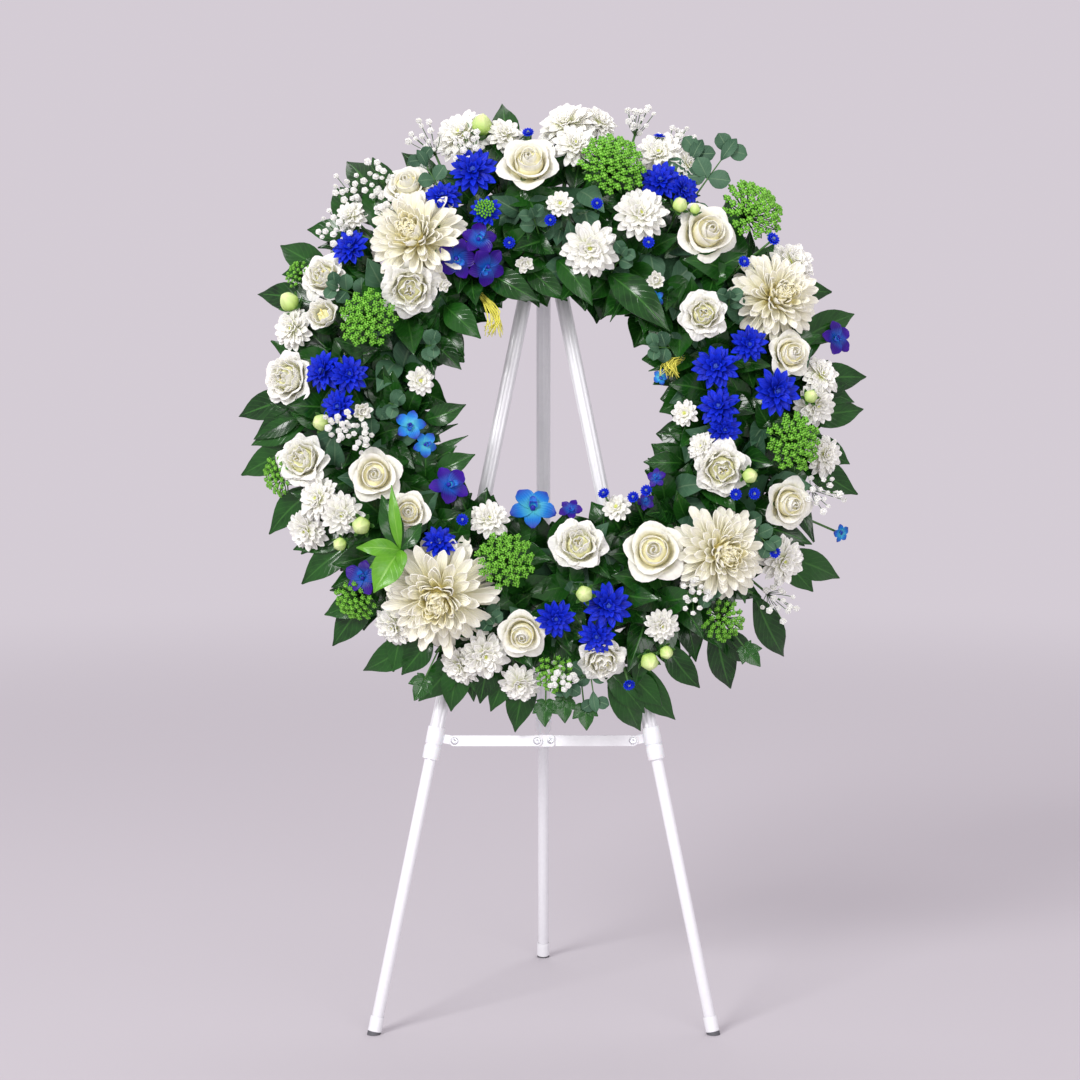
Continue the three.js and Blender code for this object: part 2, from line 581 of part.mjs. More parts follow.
// Where a head stands on the dome of the wreath, and the way it faces
const RAISED = { green_bud: 16, blue_button: 18, gypsophila: 20, cream_mum: 6, umbel: 4 };
function headAt(kind, [x, y, radius]) {
  const out = Math.hypot(x, y);
  const t = (out - CORE_RADIUS) / DOME_REACH;
  const depth = DOME_HEIGHT - DOME_FALL * t * t + (RAISED[kind] ?? 0);
  const tilt = Math.atan((2 * DOME_FALL * t) / DOME_REACH) * FACING;
  const facing = [(Math.sin(tilt) * x) / out, (Math.sin(tilt) * y) / out, Math.cos(tilt)];
  return { kind, radius, centre: [x, y, depth], facing };
}

const bunches = plan.map(({ node, ...heads }) => ({
  node,
  heads: Object.entries(heads).flatMap(([kind, list]) => list.map((entry) => headAt(kind, entry))),
}));

// A straight three-sided stem, slimmer where it enters its head
const STEM_SIDES = 3;
const STEM_TIP = 0.5;
function stalk({ from, to, radius, tapers }, room = 0) {
  const along = new THREE.Vector3(...to).sub(new THREE.Vector3(...from));
  const length = along.length();
  const frame = frameAt(from, along.toArray(), Math.abs(along.x) < length * 0.7 ? [1, 0, 0] : [0, 1, 0]);
  const ring = (reach, z) => Array.from({ length: STEM_SIDES }, (_, k) => {
    const angle = (2 * Math.PI * k) / STEM_SIDES;
    return [reach * Math.cos(angle), reach * Math.sin(angle), z];
  });
  const tip = radius * (tapers ? STEM_TIP : 1) + room;
  return placed(loft([0, 0, 0], [ring(tip, 0), ring(radius + room, length)], [0, 0, length]), frame);
}

// The least distance between two straight stems
function apart(p0, p1, q0, q1) {
  const a = new THREE.Vector3(...p0);
  const u = new THREE.Vector3(...p1).sub(a);
  const line = new THREE.Line3(new THREE.Vector3(...q0), new THREE.Vector3(...q1));
  let least = Infinity;
  const near = new THREE.Vector3();
  for (let step = 0; step <= 24; step++) {
    const point = a.clone().addScaledVector(u, step / 24);
    line.closestPointToPoint(point, true, near);
    least = Math.min(least, near.distanceTo(point));
  }
  return least;
}

// Each bunch forks just above the foam, at the spot that leaves the other stems the most room
function stemTop(head) {
  const shift = Math.min(0.2 * head.radius, 5);
  return head.centre.map((value, axis) => value + (axis === 2 ? 0 : shift * (axis ? 0.5 : 1)));
}
function stemsOf(bunch, fork, root) {
  const stems = bunch.heads.map((head) => (
    { from: stemTop(head), to: fork, radius: kinds[head.kind].stem, tapers: true }));
  const thickest = Math.max(...stems.map((stem) => stem.radius));
  return [...stems, { from: fork, to: root, radius: thickest, tapers: false }];
}
const KNOT_RADIUS = 5;
const knot = (spot, radius) => placed(button(radius, 4), new THREE.Matrix4().setPosition(...spot));
const standing = [];
for (const bunch of [...bunches].sort((a, b) => b.heads.length - a.heads.length)) {
  const middle = bunch.heads.reduce(([x, y], head) => [x + head.centre[0], y + head.centre[1]], [0, 0]);
  const heading = Math.atan2(middle[1], middle[0]);
  let best = { room: -Infinity };
  for (let turn = -5; turn <= 5; turn++) {
    for (const radius of [172, 184, 196, 208, 220, 230]) {
      const angle = heading + turn * 0.045;
      const fork = ringPoint(angle, radius, BRANCH_HEIGHT);
      const stems = stemsOf(bunch, fork, ringPoint(angle, radius, ROOT_DEPTH));
      let room = 4;
      for (const mine of stems) {
        for (const theirs of standing) {
          const clear = apart(mine.from, mine.to, theirs.from, theirs.to) - mine.radius - theirs.radius;
          room = Math.min(room, clear);
        }
      }
      const score = room - Math.abs(turn) * 0.05;
      if (score > best.room) best = { room: score, stems, fork };
    }
  }
  bunch.stems = best.stems;
  bunch.fork = best.fork;
  standing.push(...best.stems);
}

// The solid of one head, turned about its own stem by an amount that differs from head to head
function headBody(head) {
  const frame = frameAt(head.centre, head.facing, [Math.cos(head.radius), Math.sin(head.radius), 0.2]);
  return placed(kinds[head.kind].shape(head.radius), frame);
}

// A head is cut flat where it presses on another head
function pressed(body, head, others) {
  const centre = new THREE.Vector3(...head.centre);
  for (const other of others) {
    const away = new THREE.Vector3(...other.centre).sub(centre);
    const distance = away.length();
    if (distance > head.radius + other.radius) continue;
    away.normalize();
    const share = (distance * distance + head.radius ** 2 - other.radius ** 2) / (2 * distance);
    const limit = centre.dot(away) + share - GAP / 2;
    body = body.trimByPlane(away.clone().negate().toArray(), -limit);
  }
  return body;
}
const largest = (body) => body.decompose().reduce((a, b) => (b.volume() > a.volume() ? b : a));

const allHeads = bunches.flatMap((bunch) => bunch.heads);
for (const bunch of bunches) {
  let body = null;
  for (const head of bunch.heads) {
    const piece = pressed(headBody(head), head, allHeads.filter((other) => other !== head));
    body = body ? body.add(piece) : piece;
  }
  for (const stem of bunch.stems) body = body.add(stalk(stem));
  if (bunch.heads.length > 1) body = body.add(knot(bunch.fork, KNOT_RADIUS));
  bunch.body = body;
}
const stemRoom = bunches.map((bunch) => bunch.stems
  .map((stem) => stalk(stem, 2 * GAP))
  .concat(bunch.heads.length > 1 ? [knot(bunch.fork, KNOT_RADIUS + 2 * GAP)] : [])
  .reduce((a, b) => a.add(b)));
bunches.forEach((bunch, index) => {
  bunches.slice(0, index).forEach((_, earlier) => {
    bunch.body = bunch.body.subtract(stemRoom[earlier]);
  });
});
bunches.forEach((bunch, index) => {
  bunches.slice(index + 1).forEach((later) => {
    const overlap = bunch.body.intersect(later.body);
    if (overlap.volume() > 0) bunch.body = bunch.body.subtract(stemRoom[bunches.indexOf(later)]);
  });
  bunch.body = largest(bunch.body);
  const kind = Object.keys(flowerPaint).find((name) => bunch.heads[0].kind === name);
  wreath.add(meshOf(bunch.node, bunch.body, flowerPaint[kind]));
});

// Tray and foam, with plain holes for the stems and the wire
const allStems = stemRoom.reduce((a, b) => a.add(b));
const foam = ringBody(foamOutline, 0, Math.PI * 2, RING_STEPS).subtract(allStems).subtract(wireRoom);
wreath.add(meshOf('foam_ring', foam, foamGreen));
const tray = ringBody(trayOutline, 0, Math.PI * 2, RING_STEPS).subtract(wireRoom);
wreath.add(meshOf('base_tray', tray, trayPlastic));
wreath.add(meshOf('hanging_wire', wireLoop(WIRE_RADIUS), steelWire));

// Foliage: a mat of low leaves round the foam in sectors, with the large leaves rooted in it
const matInner = [[FOAM_OUTER + 0.6, TRAY_RIM + 1], [FOAM_OUTER + 0.6, FOAM_FRONT + 0.6],
  [FOAM_INNER - 0.6, FOAM_FRONT + 0.6], [FOAM_INNER - 0.6, TRAY_RIM + 1]];
const matOuter = matInner.map(([radius, depth], k) => [
  radius + (radius > CORE_RADIUS ? MAT_THICKNESS : -MAT_THICKNESS),
  depth + (k === 1 || k === 2 ? MAT_THICKNESS : 0)]);
const matOutline = [...matOuter, ...[...matInner].reverse()];

// The ring has flat sides, so its surface lies a little nearer the middle between two corners
function sideReach(angle) {
  const within = ((angle % STEP) + STEP) % STEP;
  return Math.cos(STEP / 2) / Math.cos(within - STEP / 2);
}
const baseRoom = ringBody([[FOAM_INNER - 3.4, TRAY_BACK - 1], [FOAM_OUTER + 3.4, TRAY_BACK - 1],
  [FOAM_OUTER + 3.4, TRAY_RIM + 0.5], [FOAM_OUTER + 0.4, TRAY_RIM + 0.6],
  [FOAM_OUTER + 0.4, FOAM_FRONT + 0.4], [FOAM_INNER - 0.4, FOAM_FRONT + 0.4],
  [FOAM_INNER - 0.4, TRAY_RIM + 0.6], [FOAM_INNER - 3.4, TRAY_RIM + 0.5]], 0, Math.PI * 2, RING_STEPS);

const LARGE_LEAF = [[0.26, 0.5], [0.7, 0.38]];
const SMALL_LEAF = [[0.3, 0.44], [0.66, 0.42]];
function leafAt(angle, radius, depth, outward, forward, sideways, length, width, stations) {
  const swing = angle + sideways;
  const along = [outward * Math.cos(swing), outward * Math.sin(swing), forward];
  const across = [-Math.sin(swing), Math.cos(swing), 0];
  const facing = new THREE.Vector3(...along).cross(new THREE.Vector3(...across)).normalize();
  if (facing.z < 0) facing.negate();
  const frame = frameAt(ringPoint(angle, radius * sideReach(angle), depth), facing.toArray(), along);
  return placed(blade(length, width, 2.2, stations, -length * 0.05), frame);
}

// Leaves of one sector, spread evenly with a seeded variation
function spread(count, from, span, sway, make) {
  const middle = (k) => from + (span * (k + 0.5)) / count;
  return Array.from({ length: count }, (_, k) => make(middle(k) + draw(-sway, sway), k % 2));
}
function sectorLeaves(from, span) {
  return [
    ...spread(8, from, span, 0.03, (angle, odd) => leafAt(angle, FOAM_OUTER + 2.4, odd ? 33 : 41,
      1, draw(-0.15, 0.25), draw(-0.35, 0.35), draw(90, 106), draw(42, 52), LARGE_LEAF)),
    ...spread(3, from, span, 0.05, (angle) => leafAt(angle, FOAM_INNER - 2.4, 40,
      -1, draw(0.9, 1.4), draw(-0.7, 0.7), draw(44, 56), draw(24, 30), SMALL_LEAF)),
    ...spread(4, from, span, 0.04, (angle, odd) => leafAt(angle, odd ? 228 : 178, FOAM_FRONT + 2,
      odd ? 1 : -1, draw(0.5, 0.8), draw(-0.8, 0.8), draw(58, 72), draw(30, 38), SMALL_LEAF)),
  ];
}

// Room that each head takes, a little larger than the head
const ROOM_SIDES = 5;
function headRoom(head) {
  const { low } = kinds[head.kind];
  const r = (head.radius + 0.8) / Math.cos(Math.PI / ROOM_SIDES);
  const ring = (radius, z) => Array.from({ length: ROOM_SIDES }, (_, k) => {
    const angle = (2 * Math.PI * k) / ROOM_SIDES;
    return [radius * Math.cos(angle), radius * Math.sin(angle), z];
  });
  const lowest = -low * r - 1;
  const shape = loft([0, 0, lowest], [ring(r, -0.12 * r), ring(r, 0.3 * r)], [0, 0, 0.9 * r]);
  return placed(shape, frameAt(head.centre, head.facing, [1, 0.3, 0.2]));
}
for (let sector = 0; sector < FOLIAGE_SECTORS; sector++) {
  const span = (Math.PI * 2) / FOLIAGE_SECTORS;
  const from = sector * span;
  const to = from + span;
  let body = ringBody(matOutline, from - STEP, span + 2 * STEP, RING_STEPS / FOLIAGE_SECTORS + 2);
  for (const leaf of sectorLeaves(from, span)) body = body.add(leaf);
  body = body.trimByPlane([-Math.sin(from), Math.cos(from), 0], GAP / 2);
  body = body.trimByPlane([Math.sin(to), -Math.cos(to), 0], GAP / 2);
  for (const head of allHeads) body = body.subtract(headRoom(head));
  body = body.subtract(allStems).subtract(baseRoom);
  wreath.add(meshOf(`foliage_${sector + 1}`, largest(body), leafGreen));
}

export default object;
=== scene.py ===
import math
import random
from functools import lru_cache

import bpy
import numpy as np
from mathutils import Matrix, Vector


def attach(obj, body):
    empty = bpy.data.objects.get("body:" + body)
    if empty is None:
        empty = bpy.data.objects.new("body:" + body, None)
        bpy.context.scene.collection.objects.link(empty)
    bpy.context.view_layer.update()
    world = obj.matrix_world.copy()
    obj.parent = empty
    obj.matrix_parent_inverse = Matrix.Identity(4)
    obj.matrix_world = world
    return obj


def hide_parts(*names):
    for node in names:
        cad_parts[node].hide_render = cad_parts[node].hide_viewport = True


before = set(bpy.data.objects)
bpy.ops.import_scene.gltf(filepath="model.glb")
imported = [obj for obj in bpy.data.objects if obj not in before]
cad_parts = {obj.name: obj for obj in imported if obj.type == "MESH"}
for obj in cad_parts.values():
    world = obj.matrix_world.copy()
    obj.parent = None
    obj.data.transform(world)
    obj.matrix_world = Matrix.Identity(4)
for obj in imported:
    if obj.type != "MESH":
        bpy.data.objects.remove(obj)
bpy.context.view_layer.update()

# Camera at the height of a standing adult's belt, looking slightly down, as the photograph was taken.
# The studio is a pale floor that runs out into a sky of its own tone, with soft light from the left,
# less from the right and a little from above.
MM = 0.001
camera = bpy.data.objects.new("camera", bpy.data.cameras.new("camera"))
camera.data.lens = 80.5
camera.data.sensor_width = 36
camera.location = (-0.014, -2.74, 0.76)
camera.rotation_euler = (math.radians(90 - 4.72), 0, 0)
camera.data.clip_end = 200
bpy.context.scene.collection.objects.link(camera)
bpy.context.scene.camera = camera
bpy.context.scene.view_settings.view_transform = "Standard"
STUDIO_TONE = (0.66, 0.605, 0.665, 1)


def soft_light(name, place, size, watts):
    light = bpy.data.lights.new(name, "AREA")
    light.size = size
    light.energy = watts
    lamp = bpy.data.objects.new(name, light)
    lamp.location = place
    lamp.rotation_euler = (Vector((0, 0, 0.6)) - Vector(place)).to_track_quat("-Z", "Y").to_euler()
    bpy.context.scene.collection.objects.link(lamp)


soft_light("window_left", (-3.0, -4.4, 3.6), 2.0, 250)
soft_light("reflector_right", (1.5, -4.8, 1.5), 2.6, 80)
soft_light("skylight", (0.3, 1.2, 2.9), 2.2, 26)

world = bpy.data.worlds.new("studio_air")
world.use_nodes = True
world.node_tree.nodes["Background"].inputs["Color"].default_value = STUDIO_TONE
world.node_tree.nodes["Background"].inputs["Strength"].default_value = 1.0
bpy.context.scene.world = world


def finish(name, color, roughness, **sockets):
    """A material, its shader's sockets, and short ways to feed a socket and to add a node."""
    material = bpy.data.materials.new(name)
    material.use_nodes = True
    tree = material.node_tree
    shader = tree.nodes["Principled BSDF"].inputs
    shader["Base Color"].default_value = (*color, 1)
    shader["Roughness"].default_value = roughness
    for socket, value in sockets.items():
        shader[socket.replace("_", " ").title().replace("Ior", "IOR")].default_value = value

    def feed(socket, value):
        if isinstance(value, bpy.types.NodeSocket):
            tree.links.new(value, socket)
        else:
            socket.default_value = value

    def node(kind, settings, *terms):
        """The settings go to the node or its sockets by name, the terms to its sockets in their order."""
        step = tree.nodes.new("ShaderNode" + kind)
        for key, value in settings.items():
            if key in step.inputs:
                feed(step.inputs[key], value)
            else:
                setattr(step, key, value)
        for socket, term in zip(step.inputs, terms):
            feed(socket, term)
        return step

    return material, shader, node, feed


def grain(shader, node, feed, scale, strength, distance):
    """Fine unevenness of a surface, as a bump from noise."""
    noise = node("TexNoise", {"Scale": scale, "Detail": 3.0}, node("TexCoord", {}).outputs["Object"])
    bump = node("Bump", {"Strength": strength, "Distance": distance, "Height": noise.outputs["Fac"]})
    feed(shader["Normal"], bump.outputs["Normal"])
    return noise


NEAR_FLOOR = (0.52, 0.495, 0.52, 1)
BLACK = (0, 0, 0, 1)
FADE_FROM, FADE_TO = 0.6, 4.4
floor_paint, shader, node, feed = finish("studio_floor", NEAR_FLOOR[:3], 0.8, specular_ior_level=0.0)
away = node("VectorMath", {"operation": "LENGTH"}, node("TexCoord", {}).outputs["Object"])
fade = node("MapRange", {"interpolation_type": "SMOOTHSTEP", "From Min": FADE_FROM, "From Max": FADE_TO},
            away.outputs["Value"])
feed(shader["Base Color"], node("MixRGB", {}, fade.outputs["Result"], NEAR_FLOOR, BLACK).outputs[0])
feed(shader["Emission Color"], STUDIO_TONE)
feed(shader["Emission Strength"], fade.outputs["Result"])
FLOOR_HALF = 40
floor_mesh = bpy.data.meshes.new("studio_floor")
floor_mesh.from_pydata([(-FLOOR_HALF, -FLOOR_HALF, 0), (FLOOR_HALF, -FLOOR_HALF, 0),
                        (FLOOR_HALF, FLOOR_HALF, 0), (-FLOOR_HALF, FLOOR_HALF, 0)], [], [(0, 1, 2, 3)])
floor_mesh.materials.append(floor_paint)
floor = bpy.data.objects.new("studio_floor", floor_mesh)
bpy.context.scene.collection.objects.link(floor)

# Upper legs: thin steel tubes, drawn with shallow flutes along their length and enamelled white.
# A flat tang at the top turns on a pin in the stand's head. The lower end is held by the collar.
LEAN = math.radians(8)
SPLAY = math.radians(11.5)
REAR_SLOPE = math.radians(13)
STAND_X = -10
PIVOT_UP = 858
PIVOT_OUT = 12
REAR_PIVOT_BACK = 20
FRONT_FEET_Y = -138
leaning = Matrix.Translation((0, FRONT_FEET_Y, 0)) @ Matrix.Rotation(math.pi / 2 - LEAN, 4, "X")
down_the_leg = Matrix.Rotation(math.pi / 2, 4, "X")
leg_frames = {
    "left": (leaning @ Matrix.Translation((STAND_X - PIVOT_OUT, PIVOT_UP, 0))
             @ Matrix.Rotation(-SPLAY, 4, "Z")),
    "right": (leaning @ Matrix.Translation((STAND_X + PIVOT_OUT, PIVOT_UP, 0))
              @ Matrix.Rotation(SPLAY, 4, "Z")),
    "rear": (Matrix.Translation(leaning @ Vector((STAND_X, PIVOT_UP, -REAR_PIVOT_BACK)))
             @ Matrix.Rotation(math.pi / 2 + REAR_SLOPE, 4, "X")),
}


class Shape:
    """Points in millimetres and their faces, gathered until a mesh is made from them."""

    def __init__(self):
        self.points, self.marks, self.faces, self.skins, self.count = [], [], [], [], 0
        self.paint_row = range(8)

    def add(self, points, faces, skins, marks=None, place=None):
        points = np.asarray(points, float).reshape(-1, 3)
        if place is not None:
            matrix = np.array(place)
            points = points @ matrix[:3, :3].T + matrix[:3, 3]
        self.points.append(points)
        self.marks.append(np.zeros((len(points), 3)) if marks is None else marks)
        for group, skin in zip(faces, skins):
            group = np.asarray(group)
            self.faces.append(group + self.count)
            self.skins.append(np.full(len(group), self.paint_row[skin]))
        self.count += len(points)


def made(name, shape, paints, nodes, body="root", crease=None):
    """One mesh object from a gathered shape, riding on its body in place of its CAD nodes."""
    mesh = bpy.data.meshes.new(name)
    points = np.concatenate(shape.points) * MM
    loops = np.concatenate([group.ravel() for group in shape.faces])
    sizes = np.concatenate([np.full(len(group), group.shape[1]) for group in shape.faces])
    mesh.vertices.add(len(points))
    mesh.vertices.foreach_set("co", points.ravel())
    mesh.loops.add(len(loops))
    mesh.loops.foreach_set("vertex_index", loops)
    mesh.polygons.add(len(sizes))
    mesh.polygons.foreach_set("loop_start", np.concatenate([[0], np.cumsum(sizes)[:-1]]))
    mesh.polygons.foreach_set("material_index", np.concatenate(shape.skins))
    mesh.polygons.foreach_set("use_smooth", np.ones(len(sizes), bool))
    mark = mesh.attributes.new("petal", "FLOAT_VECTOR", "POINT")
    mark.data.foreach_set("vector", np.concatenate(shape.marks).ravel())
    mesh.update(calc_edges=True)
    if crease:
        mesh.set_sharp_from_angle(angle=math.radians(crease))
    for paint in paints:
        mesh.materials.append(paint)
    piece = bpy.data.objects.new(name, mesh)
    bpy.context.scene.collection.objects.link(piece)
    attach(piece, body)
    if nodes:
        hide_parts(*nodes)


def outward(points, groups):
    """The same faces, turned so that they all look out of the closed body."""
    volume = 0.0
    for group in groups:
        corners = points[group]
        for k in range(1, group.shape[1] - 1):
            volume += np.sum(corners[:, 0] * np.cross(corners[:, k], corners[:, k + 1]))
    return groups if volume > 0 else [group[:, ::-1] for group in groups]


def bands(rings, sides, closed=False):
    """Quads between rings of points that lie one after another, and back to the first if closed."""
    ring, k = np.meshgrid(np.arange(rings if closed else rings - 1), np.arange(sides), indexing="ij")
    after, beside = (ring + 1) % rings, (k + 1) % sides
    return np.stack([ring * sides + k, ring * sides + beside, after * sides + beside, after * sides + k],
                    -1).reshape(-1, 4)


def end_caps(sides, last):
    """One face on the first ring and one on the last, which starts at the point given."""
    return np.array([np.arange(sides)[::-1], last + np.arange(sides)])


def turned(shape, profile, place, sides, skin=0, flutes=0, depth=0.0, lowest=None):
    """A turned body: the profile is a closed loop, or starts and ends on the axis, which is z."""
    angles = np.arange(sides) * 2 * math.pi / sides
    rings = []
    for radius, along in profile:
        fluted = flutes and radius >= max(point[0] for point in profile) - 0.01
        cut = depth * np.abs(np.sin(flutes * angles / 2)) ** 3 if fluted else 0
        reach = np.maximum(radius, 0.01) - cut
        rings.append(np.stack([reach * np.cos(angles), reach * np.sin(angles), np.full(sides, along)], 1))
    points = np.concatenate(rings)
    groups = outward(points, [bands(len(profile), sides, closed=profile[0][0] != 0)])
    if lowest is not None:
        matrix = np.array(place)
        points = points @ matrix[:3, :3].T + matrix[:3, 3]
        points[:, 2] = np.maximum(points[:, 2], lowest)
        place = None
    shape.add(points, groups, [skin], place=place)


def slab(shape, outline, low, high, place, bevel=0.5):
    """A flat piece with a rounded edge, from an outline in x and y between two heights."""
    outline = np.asarray(outline, float)
    ahead, behind = np.roll(outline, -1, 0) - outline, outline - np.roll(outline, 1, 0)
    run = ahead / np.linalg.norm(ahead, axis=1)[:, None] + behind / np.linalg.norm(behind, axis=1)[:, None]
    run /= np.linalg.norm(run, axis=1)[:, None]
    inside = outline + bevel * np.stack([-run[:, 1], run[:, 0]], 1)
    levels = [(inside, low), (outline, low + bevel), (outline, high - bevel), (inside, high)]
    points = np.concatenate([np.column_stack([ring, np.full(len(ring), z)]) for ring, z in levels])
    count = len(outline)
    groups = outward(points, [bands(len(levels), count), end_caps(count, (len(levels) - 1) * count)])
    shape.add(points, groups, [0, 0], place=place)


def rounded(x0, x1, y0, y1, radius, steps=5):
    """Outline of a rectangle with round corners, anticlockwise."""
    corners = [(x1 - radius, y0 + radius, -90), (x1 - radius, y1 - radius, 0),
               (x0 + radius, y1 - radius, 90), (x0 + radius, y0 + radius, 180)]
    return [(x + radius * math.cos(math.radians(start + 90 * k / steps)),
             y + radius * math.sin(math.radians(start + 90 * k / steps)))
            for x, y, start in corners for k in range(steps + 1)]


def ramp(node, value, *stops):
    """Colours laid along a value, each at its place between 0 and 1."""
    step = node("ValToRGB", {}, value)
    elements = step.color_ramp.elements
    for k, (place, color) in enumerate(stops):
        stop = elements[k] if k < 2 else elements.new(place)
        stop.color = (*color, 1)
        stop.position = place
    return step.outputs["Color"]


enamel, shader, node, feed = finish("white_enamel", (0.82, 0.82, 0.84), 0.26, coat_weight=0.35,
                                    coat_roughness=0.12)
wear = grain(shader, node, feed, 220.0, 0.06, 0.0004)
feed(shader["Base Color"], ramp(node, wear.outputs["Fac"], (0, (0.78, 0.78, 0.805)), (1, (0.85, 0.85, 0.87))))

UPPER_RADIUS = 8
UPPER_END = 562
BORE_START = 290
TANG_TOP = 6
for side, leg in leg_frames.items():
    upper = Shape()
    axis = leg @ down_the_leg
    turned(upper, [(0, 12.5), (6.4, 12.5), (7.4, 13.2), (UPPER_RADIUS, 15), (UPPER_RADIUS, UPPER_END - 0.6),
                   (UPPER_RADIUS - 0.4, UPPER_END), (7, UPPER_END), (7, BORE_START), (0, BORE_START)],
           axis, sides=64, flutes=8, depth=0.9)
    turn = Matrix.Rotation(math.pi / 2, 4, "Y") if side == "rear" else Matrix.Identity(4)
    slab(upper, rounded(-6, 6, -22, TANG_TOP, 5.5), -3, 3, leg @ turn, bevel=0.7)
    made(f"{side}_upper_tube", upper, [enamel], [f"{side}_upper_leg"], f"{side}_leg", 40)

# Lower legs: plain round tubes, enamelled like the upper ones, that slide inside them.
# Each ends in a moulded foot with a thin bright rim and a dark rubber sole, worn flat on the floor.
LOWER_RADIUS = 6.6
LOWER_BORE = 5.6
LOWER_TOP = 500
FOOT_RADIUS = 7.7
FOOT_HEIGHT = 20
SOLE = 3.2


def grained(name, color, roughness, scale, strength, distance, **sockets):
    """A finish of one colour with a fine grain: its scale, its strength and its depth."""
    material, shader, node, feed = finish(name, color, roughness, **sockets)
    grain(shader, node, feed, scale, strength, distance)
    return material


foot_plastic = grained("foot_plastic", (0.74, 0.74, 0.76), 0.42, 400.0, 0.1, 0.0003)
rubber = grained("sole_rubber", (0.09, 0.09, 0.10), 0.62, 500.0, 0.3, 0.0004)
for side, leg in leg_frames.items():
    axis = leg @ down_the_leg
    reach = leg.translation.z / -(axis.to_3x3() @ Vector((0, 0, 1))).z
    seat = reach - FOOT_HEIGHT / 3
    lower = Shape()
    turned(lower, [(LOWER_BORE, LOWER_TOP), (LOWER_RADIUS - 0.3, LOWER_TOP), (LOWER_RADIUS, LOWER_TOP + 0.6),
                   (LOWER_RADIUS, seat - 0.9), (LOWER_RADIUS - 0.3, seat - 0.3), (LOWER_BORE, seat - 0.3)],
           axis, sides=40)
    made(f"{side}_lower_tube", lower, [enamel], [f"{side}_lower_leg"], f"{side}_lower", 40)
    foot = Shape()
    top = reach - FOOT_HEIGHT
    turned(foot, [(LOWER_RADIUS + 0.3, top), (FOOT_RADIUS - 0.5, top), (FOOT_RADIUS - 0.1, top + 0.8),
                  (FOOT_RADIUS - 0.15, reach - SOLE - 2.4), (FOOT_RADIUS, reach - SOLE - 1.8),
                  (FOOT_RADIUS, reach - SOLE - 0.4), (FOOT_RADIUS - 0.5, reach - SOLE), (0, reach - SOLE),
                  (0, seat), (LOWER_RADIUS + 0.3, seat)], axis, sides=40)
    turned(foot, [(0, reach - SOLE), (FOOT_RADIUS - 0.45, reach - SOLE),
                  (FOOT_RADIUS - 0.25, reach - SOLE + 0.4), (FOOT_RADIUS - 0.25, reach + 2), (0, reach + 2)],
           axis, sides=40, skin=1, lowest=0.0)
    made(f"{side}_foot_cap", foot, [foot_plastic, rubber], [f"{side}_foot"],
         f"{side}_lower", 40)

# Collars: moulded plastic sleeves in two steps that hold the upper tube and clamp the lower one.
# The front pair carry a lug each for the brace. The rear one has two small ears to turn it by.
RIVET_ALONG = 543
RIVET_INBOARD = 22
STRIP_THICKNESS = 2
GAP = 0.3
white_plastic = grained("white_plastic", (0.83, 0.83, 0.85), 0.34, 300.0, 0.08, 0.0003,
                        subsurface_weight=0.05, subsurface_scale=0.004)
dull_steel = grained("rivet_steel", (0.62, 0.63, 0.66), 0.33, 900.0, 0.15, 0.0002, metallic=0.9)


def rivet(shape, x, y, z, radius, place, skin):
    """Low domed rivet head with the dimple that the press leaves in it."""
    turned(shape, [(0, 0), (radius, 0), (radius, 0.5), (radius * 0.86, 1.1), (radius * 0.5, 1.4),
                   (radius * 0.3, 1.1), (0, 0.9)], place @ Matrix.Translation((x, y, z)), sides=24, skin=skin)


collar_profile = [(8.3, 532), (9.1, 532), (9.6, 532.8), (9.6, 549.6), (9.2, 550.8), (8.7, 551.4),
                  (8.7, 552.6), (9.2, 553.4), (9.5, 554.4), (9.5, 566.8), (9.0, 568), (6.9, 568),
                  (6.9, 562.3), (8.3, 562.3)]
EAR_FROM, EAR_TO = 7, 13.6
for side, leg in leg_frames.items():
    collar = Shape()
    turned(collar, collar_profile, leg @ down_the_leg, sides=48)
    if side == "rear":
        for ear in (-1, 1):
            slab(collar, rounded(*sorted((ear * EAR_FROM, ear * EAR_TO)), -544, -534, 2.2), -2, 2, leg)
    else:
        inboard = 1 if side == "left" else -1
        face = STRIP_THICKNESS if side == "left" else -STRIP_THICKNESS - 2 * GAP
        ends = sorted((inboard * 5, inboard * (RIVET_INBOARD + 5)))
        slab(collar, rounded(*ends, -RIVET_ALONG - 5, -RIVET_ALONG + 5, 3.4), face - 4, face, leg)
        rivet(collar, inboard * RIVET_INBOARD, -RIVET_ALONG, face + STRIP_THICKNESS + 2 * GAP, 4, leg, 1)
    made(f"{side}_collar_sleeve", collar, [white_plastic, dull_steel], [f"{side}_collar"],
         f"{side}_leg", 35)

# Brace: two flat enamelled steel strips with round ends, one from each front collar's lug.
# They meet at a small moulded plate, where each turns on a rivet so that the brace folds upwards.
PLATE_PIVOT = 7.4
rivet_out = PIVOT_OUT + RIVET_ALONG * math.sin(SPLAY) - RIVET_INBOARD * math.cos(SPLAY)
rivet_up = PIVOT_UP - RIVET_ALONG * math.cos(SPLAY) - RIVET_INBOARD * math.sin(SPLAY)
strip_ends = {"left": (-rivet_out, -PLATE_PIVOT, STRIP_THICKNESS + GAP),
              "right": (PLATE_PIVOT, rivet_out, -STRIP_THICKNESS - GAP)}
for side, (start, end, back) in strip_ends.items():
    strip = Shape()
    outline = rounded(STAND_X + start - 6, STAND_X + end + 6, rivet_up - 6, rivet_up + 6, 5.98, 10)
    slab(strip, outline, back, back + STRIP_THICKNESS, leaning, bevel=0.35)
    made(f"{side}_strip", strip, [enamel], [f"{side}_brace_strip"], f"{side}_strip", 40)
plate = Shape()
